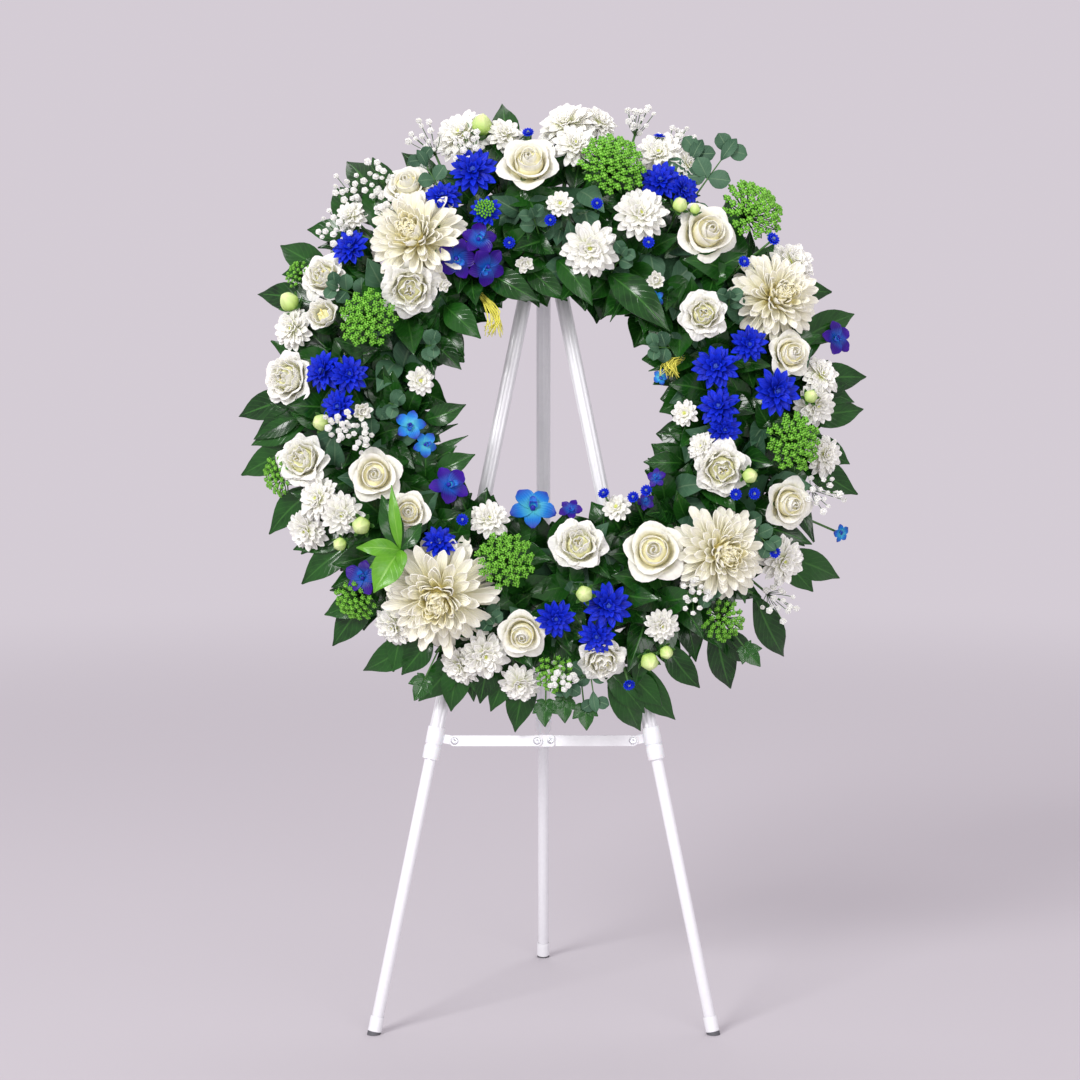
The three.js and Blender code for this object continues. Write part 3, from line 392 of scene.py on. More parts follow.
slab(plate, rounded(STAND_X - 12, STAND_X + 12, rivet_up - 6.5, rivet_up + 6.5, 2.6), 0, STRIP_THICKNESS,
     leaning, bevel=0.4)
turned(plate, [(0, 0.5), (2, 0.5), (2, 4.7), (0, 4.7)],
       leaning @ Matrix.Translation((STAND_X - PLATE_PIVOT, rivet_up, 0)), sides=20, skin=1)
rivet(plate, STAND_X - PLATE_PIVOT, rivet_up, 4.6, 4, leaning, 1)
rivet(plate, STAND_X + PLATE_PIVOT, rivet_up, 2, 3.5, leaning, 1)
made("centre_plate_moulding", plate, [white_plastic, dull_steel], ["brace_centre_plate"],
     "centre_plate", 35)

# Head of the stand: a moulded yoke in which the three legs turn on steel pins.
# A tongue stands up at its middle, and the wreath's wire hangs over the yoke behind it.
yoke = Shape()
HEAD_HALF = 26
for low, high in ((-8, -3.3), (3.3, 8)):
    slab(yoke, rounded(STAND_X - HEAD_HALF, STAND_X + HEAD_HALF, PIVOT_UP - 9, PIVOT_UP + 16, 4), low, high,
         leaning, bevel=0.8)
slab(yoke, rounded(STAND_X - HEAD_HALF + 0.4, STAND_X + HEAD_HALF - 0.4, PIVOT_UP + 10, PIVOT_UP + 15.9, 2),
     -5, 5, leaning, bevel=0.3)
slab(yoke, rounded(STAND_X - 10, STAND_X + 10, PIVOT_UP + 14, PIVOT_UP + 34, 5), -3, 3, leaning, bevel=0.9)
across = leaning @ Matrix.Translation((STAND_X, PIVOT_UP, 0)) @ Matrix.Rotation(-math.pi / 2, 4, "Y")
for low, high in ((-7.3, -3.3), (3.3, 7.3)):
    slab(yoke, rounded(-29, -6.5, -8, 8, 5), low, high, across, bevel=0.6)
turned(yoke, [(0, -9), (2, -9), (2, 9), (0, 9)], across @ Matrix.Translation((-REAR_PIVOT_BACK, 0, 0)),
       sides=20, skin=1)
for x in (-PIVOT_OUT, PIVOT_OUT):
    turned(yoke, [(0, -8.4), (3, -8.4), (3.4, -8), (2, -7.9), (2, 7.9), (3.4, 8), (3, 8.4), (0, 8.4)],
           leaning @ Matrix.Translation((STAND_X + x, PIVOT_UP, 0)), sides=24, skin=1)
made("head_yoke", yoke, [white_plastic, dull_steel], ["stand_head"], "root", 35)

# Tray, foam and wire: a dark moulded tray holds a ring of floral foam, soaked and pressed in.
# A loop of galvanised wire comes out of the foam on both sides of the stand's head and hangs on it.
RING_UP = 684
RING_SIDES = 120
FOAM_INNER, FOAM_OUTER = 152, 247
FOAM_FRONT = 56
wreath = leaning @ Matrix.Translation((0, RING_UP, 0))
tray_plastic = grained("tray_plastic", (0.018, 0.055, 0.028), 0.4, 250.0, 0.15, 0.0004)
# The foam's own green is painted darker, as painted shade where it shows between the leaves.
foam_green = grained("floral_foam", (0.025, 0.085, 0.035), 0.95, 1400.0, 0.8, 0.0012)
wire_steel = grained("galvanised_wire", (0.5, 0.51, 0.54), 0.36, 700.0, 0.25, 0.0002, metallic=0.95)
tray = Shape()
grooves = [(middle + step, depth) for middle in (168, 184, 200, 216, 232)
           for step, depth in ((-1.4, 8.4), (-0.9, 9.4), (0.9, 9.4), (1.4, 8.4))]
turned(tray, [(150.5, 8.4), *grooves, (249.5, 8.4), (250, 9), (250, 27.4), (249.4, 28), (247.6, 28),
              (247.4, 10.6), (151.8, 10.6), (151.6, 28), (150, 28), (149.6, 27.4), (149.6, 9)], wreath,
       sides=RING_SIDES)
made("tray_moulding", tray, [tray_plastic], ["base_tray"], "root", 35)
foam = Shape()
turned(foam, [(FOAM_INNER, 10.8), (FOAM_OUTER, 10.8), (FOAM_OUTER, 52), (245.5, 55), (242, FOAM_FRONT),
              (157, FOAM_FRONT), (153.5, 55), (FOAM_INNER, 52)], wreath, sides=RING_SIDES)
made("foam_body", foam, [foam_green], ["foam_ring"], "root", 50)


def tube(shape, path, radii, place, sides, skin=0):
    """A round tube along a list of points, closed at both ends."""
    path = np.asarray(path, float)
    runs = np.gradient(path, axis=0)
    runs /= np.linalg.norm(runs, axis=1)[:, None]
    near = np.array([0.13, 0.31, 0.94]) if abs(runs[0][2]) < 0.9 else np.array([0.9, 0.3, 0.1])
    first = np.cross(runs, near)
    first /= np.linalg.norm(first, axis=1)[:, None]
    second = np.cross(runs, first)
    angles = np.arange(sides) * 2 * math.pi / sides
    reach = np.broadcast_to(radii, len(path))[:, None, None]
    rings = path[:, None] + reach * (first[:, None] * np.cos(angles)[:, None]
                                     + second[:, None] * np.sin(angles)[:, None])
    points = rings.reshape(-1, 3)
    marks = np.column_stack([np.repeat(np.linspace(0, 1, len(path)), sides),
                             np.full((len(points), 2), 0.5)])
    groups = outward(points, [bands(len(path), sides), end_caps(sides, (len(path) - 1) * sides)])
    shape.add(points, groups, [skin, skin], marks, place)


def smooth_path(knots, count):
    """Points along a Catmull-Rom curve through the knots."""
    knots = np.asarray(knots, float)
    padded = np.vstack([2 * knots[0] - knots[1], knots, 2 * knots[-1] - knots[-2]])
    path = []
    for t in np.linspace(0, len(knots) - 1, count):
        k = min(int(t), len(knots) - 2)
        u = t - k
        a, b, c, d = padded[k:k + 4]
        path.append(0.5 * (2 * b + (c - a) * u + (2 * a - 5 * b + 4 * c - d) * u * u
                           + (3 * b - a - 3 * c + d) * u ** 3))
    return np.array(path)


wire_up = PIVOT_UP + 16 + GAP + 1.6 - RING_UP
wire_knots = [(-38, 24), (-37, 10), (-30, 0), (-13, -4.9), (0, -4.9), (13, -4.9), (30, 0), (37, 10), (38, 24)]
wire = Shape()
tube(wire, smooth_path([(STAND_X + x, wire_up, z) for x, z in wire_knots], 49), 1.6, wreath, sides=14)
made("wire_loop", wire, [wire_steel], ["hanging_wire"])

# Foliage: sprigs of broad glossy leaves pushed into the foam all round, with their tips past the ring.
# Grey-green round leaves, young bright ones and a few ivy leaves fill in between. One piece a sector.
draws = random.Random(4321)
uniform = draws.uniform
RING_MIDDLE = 200


@lru_cache(maxsize=None)
def sheet_faces(rows, cols):
    """Faces of a thin sheet: its front, its back and the strip round its rim, and the rim's points."""
    i, j = np.meshgrid(np.arange(rows - 1), np.arange(cols - 1), indexing="ij")
    corner = (i * cols + j).ravel()
    front = np.stack([corner, corner + cols, corner + cols + 1, corner + 1], 1)
    rim = ([row * cols for row in range(rows - 1)] + [(rows - 1) * cols + col for col in range(cols - 1)]
           + [row * cols + cols - 1 for row in range(rows - 1, 0, -1)] + list(range(cols - 1, 0, -1)))
    count, size = len(rim), rows * cols
    k = np.arange(count)
    ahead = (k + 1) % count
    edge = np.stack([2 * size + ahead, 2 * size + k, 2 * size + count + k, 2 * size + count + ahead], 1)
    return front, front[:, ::-1] + size, edge, np.array(rim)


def sheet(shape, grid, thickness, place, tone, skins=(0, 0)):
    """A petal or leaf: a grid of points made into a closed sheet of one thickness."""
    rows, cols = grid.shape[:2]
    normal = np.cross(np.gradient(grid, axis=0), np.gradient(grid, axis=1))
    normal /= np.linalg.norm(normal, axis=2)[:, :, None] + 1e-9
    front = (grid + normal * thickness / 2).reshape(-1, 3)
    back = (grid - normal * thickness / 2).reshape(-1, 3)
    faces = sheet_faces(rows, cols)
    rim = faces[3]
    along, across_it = np.meshgrid(np.linspace(0, 1, rows), np.linspace(0, 1, cols), indexing="ij")
    mark = np.stack([along, across_it, np.full(along.shape, tone)], -1).reshape(-1, 3)
    shape.add(np.concatenate([front, back, front[rim], back[rim]]), faces[:3], [skins[0], skins[1], skins[0]],
              np.concatenate([mark, mark, mark[rim], mark[rim]]), place)


def unit(vector):
    vector = np.asarray(vector, float)
    return vector / np.linalg.norm(vector)


def leaf(shape, base, tip, width, arch=0.12, fold=0.18, belly=0.44, blunt=1.12, point=1.2, skins=(0, 1),
         facing=(0, 0, 1), rows=11, cols=5, tone=None):
    """A leaf from its stalk's end to its tip, arched up between and folded a little along its midrib."""
    base, tip = np.asarray(base, float), np.asarray(tip, float)
    length = np.linalg.norm(tip - base)
    run = (tip - base) / length
    side = unit(np.cross(facing, run))
    up = np.cross(run, side)
    t = np.linspace(0, 1, rows)[:, None]
    s = np.linspace(-1, 1, cols)[None, :]
    climb = np.sin(np.pi / 2 * np.clip(t / belly, 0, 1)) ** 0.9
    fall = np.cos(np.pi / 2 * np.clip((t - belly) / (1 - belly), 0, 1) ** blunt) ** point
    half = width / 2 * np.maximum(climb * fall, 0.02)
    phase = uniform(0, 6)
    lift = (arch * length * np.sin(np.pi * t ** 0.9) + fold * half * np.abs(s) ** 1.3
            + 0.05 * width * np.abs(s) ** 2 * np.sin(9 * t + phase + 1.3 * s))
    sway = uniform(-0.05, 0.05) * length * np.sin(np.pi * t)
    grid = (base + (t * length)[..., None] * run + (half * s + sway)[..., None] * side
            + lift[..., None] * up)
    sheet(shape, grid, 0.7, wreath, uniform(0, 1) if tone is None else tone, skins)


def polar(angle, radius, depth):
    return np.array([radius * math.cos(angle), radius * math.sin(angle), depth])


def marked(node, scale, detail):
    """A sheet's own marks for its paint: along, across and tone, a noise, and ways to reckon with them."""
    mark = node("Attribute", {"attribute_name": "petal"}).outputs["Vector"]
    noise = node("TexNoise", {"Scale": scale, "Detail": detail}, node("TexCoord", {}).outputs["Object"])

    def maths(operation, *terms):
        return node("Math", {"operation": operation}, *terms).outputs[0]

    def spread(value, *limits):
        return node("MapRange", {}, value, *limits).outputs[0]

    return *node("SeparateXYZ", {}, mark).outputs, noise.outputs["Fac"], maths, spread


def leaf_paint(name, dark, light, rib, roughness, vein_count, shine):
    """Leaf skin: green that varies from leaf to leaf, with a pale midrib and side veins that slope."""
    material, shader, node, feed = finish(name, dark, roughness, specular_ior_level=shine)
    along, across_it, tone, noise, maths, spread = marked(node, 70.0, 4.0)
    greens = ramp(node, maths("MULTIPLY_ADD", tone, 0.55, noise), (0.35, dark), (1.0, light))
    distance = maths("ABSOLUTE", maths("SUBTRACT", across_it, 0.5))
    midrib = spread(distance, 0.012, 0.05, 1.0, 0.0)
    slant = maths("MULTIPLY_ADD", distance, -0.55, along)
    wave = maths("SINE", maths("MULTIPLY", slant, vein_count * 2 * math.pi))
    ribs = maths("MAXIMUM", midrib, spread(wave, 0.82, 1.0, 0.0, 0.34))
    feed(shader["Base Color"], node("MixRGB", {}, ribs, greens, (*rib, 1)).outputs[0])
    height = maths("MULTIPLY_ADD", ribs, -0.9, noise)
    bump = node("Bump", {"Strength": 0.35, "Distance": 0.0008, "Height": height})
    feed(shader["Normal"], bump.outputs["Normal"])
    return material


leaf_paints = [
    leaf_paint("leaf_face", (0.0015, 0.016, 0.0025), (0.012, 0.074, 0.008), (0.032, 0.13, 0.018), 0.18, 9,
               0.38),
    leaf_paint("leaf_back", (0.013, 0.055, 0.012), (0.03, 0.10, 0.022), (0.06, 0.16, 0.04), 0.50, 9, 0.20),
    leaf_paint("young_leaf", (0.03, 0.16, 0.008), (0.11, 0.33, 0.018), (0.19, 0.42, 0.06), 0.28, 8, 0.35),
    leaf_paint("grey_leaf", (0.018, 0.062, 0.032), (0.055, 0.135, 0.072), (0.11, 0.20, 0.11), 0.50, 7, 0.25),
]
twig_bark = grained("green_stem", (0.05, 0.15, 0.025), 0.5, 260.0, 0.3, 0.0005)
leaf_paints.append(twig_bark)
DARK, YOUNG, GREY, TWIG = (0, 1), (2, 2), (3, 3), 4

SECTORS = 5
sectors = [Shape() for _ in range(SECTORS)]


def sector_at(point):
    angle = math.atan2(point[1], point[0]) % (2 * math.pi)
    return sectors[min(int(angle / (2 * math.pi / SECTORS)), SECTORS - 1)]


# Flower plan, which the leaves keep clear of: across, up and radius of each head from the ring's middle,
# in millimetres. A head stands on the dome of the wreath and faces out from it.
plan = {
    "cream_mum_upper_left": {"cream_mum": [(-150, 183, 52)]},
    "cream_mum_lower_left": {"cream_mum": [(-123, -209, 57)]},
    "cream_mum_lower_right": {"cream_mum": [(182, -160, 48)]},
    "cream_mum_right": {"cream_mum": [(245, 120, 46)]},
    "roses_top": {"rose": [(-26, 267, 28), (-159, 245, 24)]},
    "roses_right": {"rose": [(167, 189, 29), (258, 57, 22), (256, -105, 24)]},
    "roses_bottom": {"rose": [(108, -157, 29), (-33, -247, 23)]},
    "roses_left": {"rose": [(-191, -76, 25), (-155, -116, 20)]},
    "lisianthus_upper_left": {"lisianthus": [(-251, 145, 24), (-249, 100, 22), (-154, 124, 29)],
                              "green_bud": [(-288, 117, 13)]},
    "lisianthus_left": {"lisianthus": [(-290, 33, 28), (-272, -57, 27)],
                        "green_bud": [(-249, -20, 11), (-205, -131, 12), (-229, -150, 9)]},
    "lisianthus_bottom": {"lisianthus": [(53, -275, 24), (28, -150, 28)],
                          "green_bud": [(33, -204, 11), (104, -276, 12), (122, -266, 9)]},
    "lisianthus_right": {"lisianthus": [(181, -70, 28), (162, 98, 24)],
                         "green_bud": [(210, -78, 10), (278, 10, 9)]},
    "white_mums_top": {"white_mum": [(15, 318, 33), (52, 322, 22), (25, 290, 25), (8, 218, 15), (40, 169, 31),
                                     (-31, 153, 13)]},
    "white_mums_top_right": {"white_mum": [(117, 283, 27), (149, 270, 20), (95, 207, 29), (111, 134, 13)]},
    "white_mums_top_left": {"white_mum": [(-101, 308, 33), (-52, 305, 22), (-222, 214, 19)]},
    "white_mums_left": {"white_mum": [(-284, 88, 24), (-205, -8, 14), (-143, 27, 16), (-118, 129, 10)]},
    "white_mums_lower_left": {"white_mum": [(-254, -100, 26), (-227, -118, 24), (-268, -133, 24)]},
    "white_mums_bottom": {"white_mum": [(-172, -237, 24), (-101, -280, 24), (-73, -269, 27), (-36, -300, 22),
                                        (-69, -122, 22), (68, -109, 16)]},
    "white_mums_hole_right": {"white_mum": [(142, -8, 15), (160, -45, 17)]},
    "white_mums_right": {"white_mum": [(292, 36, 24), (286, 3, 25), (296, -51, 23), (264, 162, 29)]},
    "white_sprays_lower_right": {"white_mum": [(250, -166, 27), (117, -237, 19)],
                                 "gypsophila": [(152, -204, 11), (246, -210, 12), (296, -92, 12)]},
    "blue_mums_top_left": {"blue_mum": [(-87, 259, 26), (-120, 229, 20), (-73, 210, 17), (-221, 176, 20)],
                           "blue_button": [(-47, 172, 6), (-27, 300, 6), (-3, 196, 6)]},
    "blue_mums_left": {"blue_mum": [(-249, 38, 22), (-219, 33, 20), (-231, -2, 19)],
                       "blue_button": [(-97, -125, 6)]},
    "blue_mums_top_right": {"blue_mum": [(117, 248, 22), (143, 238, 19)],
                            "blue_button": [(102, 172, 6), (205, 153, 6), (117, 300, 6), (239, 183, 7),
                                            (47, 214, 6)]},
    "blue_mums_right": {"blue_mum": [(175, 41, 24), (211, 65, 20), (241, 15, 25), (178, -2, 22),
                                     (184, -27, 18)],
                        "blue_button": [(194, -98, 6), (214, -97, 6), (238, -158, 6)]},
    "blue_mums_bottom": {"blue_mum": [(3, -230, 20), (59, -216, 24), (47, -249, 19), (-122, -147, 18)],
                         "blue_button": [(55, -95, 6), (82, -300, 6), (100, -93, 6), (86, -100, 6)]},
    "green_umbels_top": {"umbel": [(64, 262, 36), (217, 218, 36)],
                         "green_bud": [(137, 216, 10), (153, 212, 7)]},
    "green_umbels_upper_left": {"umbel": [(-199, 92, 31), (-280, 150, 16)], "green_bud": [(-78, 315, 14)]},
    "green_umbels_bottom": {"umbel": [(-51, -168, 31), (2, -288, 22)]},
    "green_umbels_lower_left": {"umbel": [(-214, -209, 24), (-298, -73, 22)]},
    "green_umbel_right": {"umbel": [(258, -40, 31)]},
    "green_umbel_lower_right": {"umbel": [(184, -231, 24)]},
    "orchids_top": {"orchid": [(-103, 158, 22), (-72, 150, 22), (-80, 178, 20)]},
    "orchids_bottom": {"blue_orchid": [(-22, -110, 26)], "orchid": [(-112, -86, 22), (-205, -185, 20)]},
    "orchid_right": {"orchid": [(312, 80, 20)], "blue_orchid": [(318, -133, 11)]},
    "gypsophila_upper_left": {"gypsophila": [(-222, 242, 12), (-190, 252, 12), (-140, 300, 12),
                                             (-240, 197, 11), (-94, 288, 12)]},
    "gypsophila_sprigs": {"gypsophila": [(-227, -24, 10), (-208, -36, 10), (8, -291, 10), (96, 325, 10),
                                         (140, 300, 9), (-176, 214, 10)]},
    "orchid_sprigs": {"blue_orchid": [(-154, -22, 17), (-138, -42, 14), (111, 116, 9), (117, 33, 9)],
                      "orchid": [(19, -111, 13), (112, -78, 11), (100, -104, 10)]},
}
DOME_HEIGHT, DOME_FALL, DOME_REACH, FACING = 104, 42, 100, 0.75
RAISED = {"green_bud": 16, "blue_button": 18, "gypsophila": 20, "cream_mum": 6, "umbel": 4}
LEAN_AWAY = 0.55


def dome_at(radius):
    return DOME_HEIGHT - DOME_FALL * ((radius - RING_MIDDLE) / DOME_REACH) ** 2


heads = []
for node_name, kinds in plan.items():
    for kind, places in kinds.items():
        for x, y, radius in places:
            out = math.hypot(x, y)
            slope = 2 * DOME_FALL * (out - RING_MIDDLE) / DOME_REACH / DOME_REACH
            tilt = math.atan(slope) * FACING
            facing = np.array([math.sin(tilt) * x / out, math.sin(tilt) * y / out, math.cos(tilt)])
            heads.append({"node": node_name, "kind": kind, "radius": radius, "facing": facing,
                          "centre": np.array([x, y, dome_at(out) + RAISED.get(kind, 0)])})
for head in heads:
    push = np.zeros(3)
    for other in heads:
        gap = head["centre"] - other["centre"]
        distance = np.linalg.norm(gap)
        overlap = head["radius"] + other["radius"] - distance
        if other is not head and overlap > 0:
            push += gap / distance * overlap / head["radius"]
    push[2] = 0
    head["facing"] = unit(head["facing"] + LEAN_AWAY * push)


def room_at(x, y):
    """How high a leaf may reach here: under the heads that stand over this spot."""
    limit = dome_at(math.hypot(x, y)) + 10
    for head in heads:
        reach = math.hypot(x - head["centre"][0], y - head["centre"][1])
        if reach < head["radius"] * 0.95:
            limit = min(limit, head["centre"][2] - 0.45 * head["radius"])
    return limit


# Dark leaves: rows on the outer and inner rim, the ones that stand out furthest, then all over the face.
def settled(base, tip, arch):
    """The tip, lowered until the leaf passes under the heads that stand over it."""
    length = np.linalg.norm(tip - base)
    drop = 0.0
    for t in (0.4, 0.7, 1.0):
        spot = base + t * (tip - base)
        over = spot[2] + arch * length * math.sin(math.pi * t) - room_at(spot[0], spot[1])
        drop = max(drop, over / t)
    return tip - (0, 0, drop)


def rim_row(count, base_radius, base_depth, tip_from, tip_to, low, high, wide_from, wide_to):
    for k in range(count):
        angle = 2 * math.pi * (k + 0.5) / count + uniform(-0.09, 0.09)
        swing = angle + uniform(-0.2, 0.2)
        base = polar(angle, base_radius, base_depth + uniform(-4, 4))
        arch = uniform(0.04, 0.14)
        tip = settled(base, polar(swing, uniform(tip_from, tip_to), uniform(low, high)), arch)
        leaf(sector_at(base), base, tip, uniform(wide_from, wide_to), arch=arch,
             fold=uniform(0.1, 0.32), skins=DARK,
             facing=(0.5 * math.cos(swing), 0.5 * math.sin(swing), 1))


rim_row(58, 249, 34, 274, 300, 14, 24, 22, 28)
rim_row(46, 248, 30, 288, 322, 22, 44, 26, 34)
rim_row(46, 246, 44, 284, 320, 48, 72, 26, 34)
rim_row(40, 240, 54, 280, 306, 66, 90, 27, 34)
rim_row(26, 158, 34, 107, 131, 28, 50, 31, 41)
rim_row(28, 160, 50, 109, 133, 56, 92, 30, 40)
outer_tips = [(-227, 281), (-197, 281), (-232, 246), (-298, 185), (-322, 131), (-341, -4), (-338, -68),
              (-306, -133), (-270, -187), (-238, -253), (-205, -280), (-145, -313), (-110, -324),
              (-85, -313), (-41, -346), (95, -345), (133, -333), (193, -299), (253, -264), (313, -179),
              (331, -89), (337, 3), (341, 39), (329, 109), (-55, 341)]
for x, y in outer_tips:
    for back, width in ((0, 33), (0.085, 29)):
        angle = math.atan2(y, x) + back * draws.choice((-1, 1))
        tip = polar(angle, 1.018 * math.hypot(x, y) * (1 - 0.6 * back), uniform(44, 62))
        base = polar(angle + uniform(-0.1, 0.1), math.hypot(x, y) - uniform(66, 78), 52)
        arch = uniform(0.06, 0.12)
        leaf(sector_at(base), base, settled(base, tip, arch), width, arch=arch, fold=uniform(0.15, 0.35),
             skins=DARK, facing=(0.4 * math.cos(angle), 0.4 * math.sin(angle), 1))
        tube(sector_at(base), [polar(angle, 240, 46), base], 1.3, wreath, 6, TWIG)
GOLDEN = math.pi * (3 - math.sqrt(5))
EVEN_ROUND, EVEN_ACROSS = 0.5698403, 0.7548777
for count, low, high, short, long in ((230, 3, 20, 42, 58), (250, 16, 48, 38, 60)):
    for k in range(count):
        angle = 2 * math.pi * ((k + 0.5) * EVEN_ROUND % 1)
        radius = 156 + 94 * ((k + 0.5) * EVEN_ACROSS % 1)
        base = polar(angle, radius, FOAM_FRONT - 2)
        heading = angle + uniform(-3.1, 3.1)
        length = uniform(short, long)
        arch = uniform(0.04, 0.16)
        tip = base + length * np.array([0.85 * math.cos(heading), 0.85 * math.sin(heading), 0])
        tip[2] += uniform(low, high)
        tip = settled(base, tip, arch)
        if tip[2] > FOAM_FRONT - 6 and 108 < math.hypot(tip[0], tip[1]) < 318:
            kind = DARK if draws.random() < 0.84 else GREY
            leaf(sector_at(base), base, tip, length * uniform(0.5, 0.62), arch=arch,
                 fold=uniform(0.1, 0.4), skins=kind, rows=8)


# Round-leaved grey-green sprigs: a thin twig with pairs of leaves, smaller towards its tip.
def round_leaf_sprig(root, tip, pairs, width):
    root, tip = np.asarray(root, float), np.asarray(tip, float)
    path = smooth_path([root, (root * 0.45 + tip * 0.55) + (0, 0, 7), tip], 9)
    body = sector_at(root)
    tube(body, path, np.linspace(1.3, 0.6, 9), wreath, sides=6, skin=TWIG)
    run = unit(tip - root)
    side = unit(np.cross((0, 0, 1), run))
    for pair in range(pairs):
        spot = path[2 + round(pair * 6 / max(pairs - 1, 1))]
        size = width * (1 - 0.35 * pair / pairs)
        for hand in (-1, 1):
            reach = unit(side * hand + run * 0.5 + np.array([0, 0, uniform(-0.1, 0.3)]))
            leaf(body, spot, spot + reach * size, size * 0.84, arch=0.05, fold=0.1, belly=0.5, blunt=1.9,
                 point=0.9, skins=GREY, rows=8)
    leaf(body, path[-2], path[-1] + run * width * 0.6, width * 0.5, skins=GREY, belly=0.5, blunt=1.6, point=1,
         rows=8)


for x, y, depth, turn in (
        (150, 262, 80, 0.2), (176, 268, 74, -0.2), (-190, 8, 96, 2.8), (-196, -8, 92, 0.4),
        (24, -282, 66, -0.5), (40, -296, 60, 0.1), (-214, 128, 96, 0.5), (222, -130, 90, -0.6),
        (-126, 252, 90, 0.3), (196, 96, 100, 1.4), (-150, 68, 104, 3.4), (150, -190, 98, 0.2),
        (-90, -232, 88, 2.0), (-12, 186, 100, 0.4), (62, 148, 96, -0.3), (132, 60, 98, 2.6)):
    angle = math.atan2(y, x) + turn
    tip = np.array([x + 22 * math.cos(angle), y + 22 * math.sin(angle), min(depth, room_at(x, y) + 8)])
    round_leaf_sprig(polar(math.atan2(y, x), min(max(math.hypot(x, y), 165), 236) - 6, 50), tip, 3,
                     29 if x > 140 and y > 250 else 22)

# Young bright sprig at lower left, broad glossy leaves over the hole's upper edge, narrow ones that hang
# into the hole, and ivy low down at the front.
sprig_foot = np.array([-163, -157, 112.0])
for x, y, width, up, kind in (
        (-190, -203, 33, 12, YOUNG), (-209, -155, 20, 10, YOUNG), (-183, -98, 25, 2, DARK),
        (-172, -88, 13, 10, YOUNG), (-160, -181, 12, 14, YOUNG), (-196, -176, 18, -4, YOUNG),
        (-140, -128, 18, -2, DARK)):
    leaf(sector_at(sprig_foot), sprig_foot, np.array([x, y, sprig_foot[2] + up]), width, arch=0.14, fold=0.22,
         skins=kind, rows=12, cols=7, tone=0.8)
tube(sector_at(sprig_foot), smooth_path([(-158, -146, 50), (-160, -150, 84), sprig_foot], 7), 1.2, wreath, 6,
     TWIG)
for base, tip, width in (((-72, 150, 70), (-14, 114, 88), 31), ((-118, 112, 72), (-78, 74, 86), 31),
                         ((4, 162, 72), (43, 110, 84), 29), ((60, 146, 74), (126, 80, 96), 37),
                         ((-134, 76, 70), (-99, 40, 84), 27), ((-30, 158, 66), (16, 116, 76), 27),
                         ((120, 108, 70), (110, 56, 78), 26), ((-140, -14, 74), (-94, 2, 84), 24),
                         ((-128, -70, 70), (-84, -52, 82), 24), ((140, -60, 70), (98, -60, 80), 24)):
    leaf(sector_at(base), base, tip, width, arch=0.16, fold=0.25, rows=13, cols=7)
for tip in ((-92, -30, 70), (-95, -50, 66), (-103, -18, 76), (104, 40, 72), (-96, 52, 80), (62, 92, 84)):
    base = polar(math.atan2(tip[1], tip[0]) + uniform(-0.1, 0.1), 158, 60)
    leaf(sector_at(base), base, tip, 11, arch=0.1, fold=0.3, belly=0.35, skins=DARK, rows=11, cols=3)
for x, y in ((12, -318), (34, -326), (-8, -322), (-140, -296), (210, -262)):
    centre = np.array([x, y, 58.0])
    run = unit((x, y, 0))
    side = np.array([-run[1], run[0], 0])
    for spread_to, reach in ((0, 24), (-0.95, 17), (0.95, 17), (-2.0, 11), (2.0, 11)):
        way = run * math.cos(spread_to) + side * math.sin(spread_to)
        leaf(sector_at(centre), centre - run * 2, centre + way * reach + (0, 0, 2), reach * 0.72, arch=0.02,
             fold=0.12, belly=0.4, skins=DARK, rows=7, tone=0.9)
    root = polar(math.atan2(y, x), 240, 48)
    path = smooth_path([root, (root + centre) / 2 + (0, 0, 4), centre], 6)
    tube(sector_at(centre), path, 0.9, wreath, 6, TWIG)
for k, sector in enumerate(sectors):
    made(f"leaves_{k + 1}", sector, leaf_paints, [f"foliage_{k + 1}"])


# Petals of every kind share one paint, laid on from the petal's root to its tip with fine veins.
def petal_paint(name, root, middle, tip, vein_count=9, roughness=0.55, vein_depth=0.35, glow=0.35, vary=0.06):
    material, shader, node, feed = finish(
        name, middle, roughness, subsurface_weight=glow, subsurface_scale=0.004,
        subsurface_radius=(1.0, 0.95, 0.8), specular_ior_level=0.25)
    along, across_it, tone, noise, maths, spread = marked(node, 55.0, 3.0)
    colors = ramp(node, along, (0.08, root), (1, tip), (0.5, middle))
    dim = spread(maths("ADD", tone, noise), 0.4, 1.6, 1 - vary, 1.0)
    wave = maths("SINE", maths("MULTIPLY_ADD", across_it, vein_count * 2 * math.pi, noise))
    shade = maths("MULTIPLY", dim, spread(wave, 0.4, 1.0, 1.0, 0.94))
    color = node("VectorMath", {"operation": "SCALE", "Scale": shade}, colors)
    feed(shader["Base Color"], color.outputs["Vector"])
    bump = node("Bump", {"Strength": vein_depth, "Distance": 0.0004, "Height": wave})
    feed(shader["Normal"], bump.outputs["Normal"])
    return material


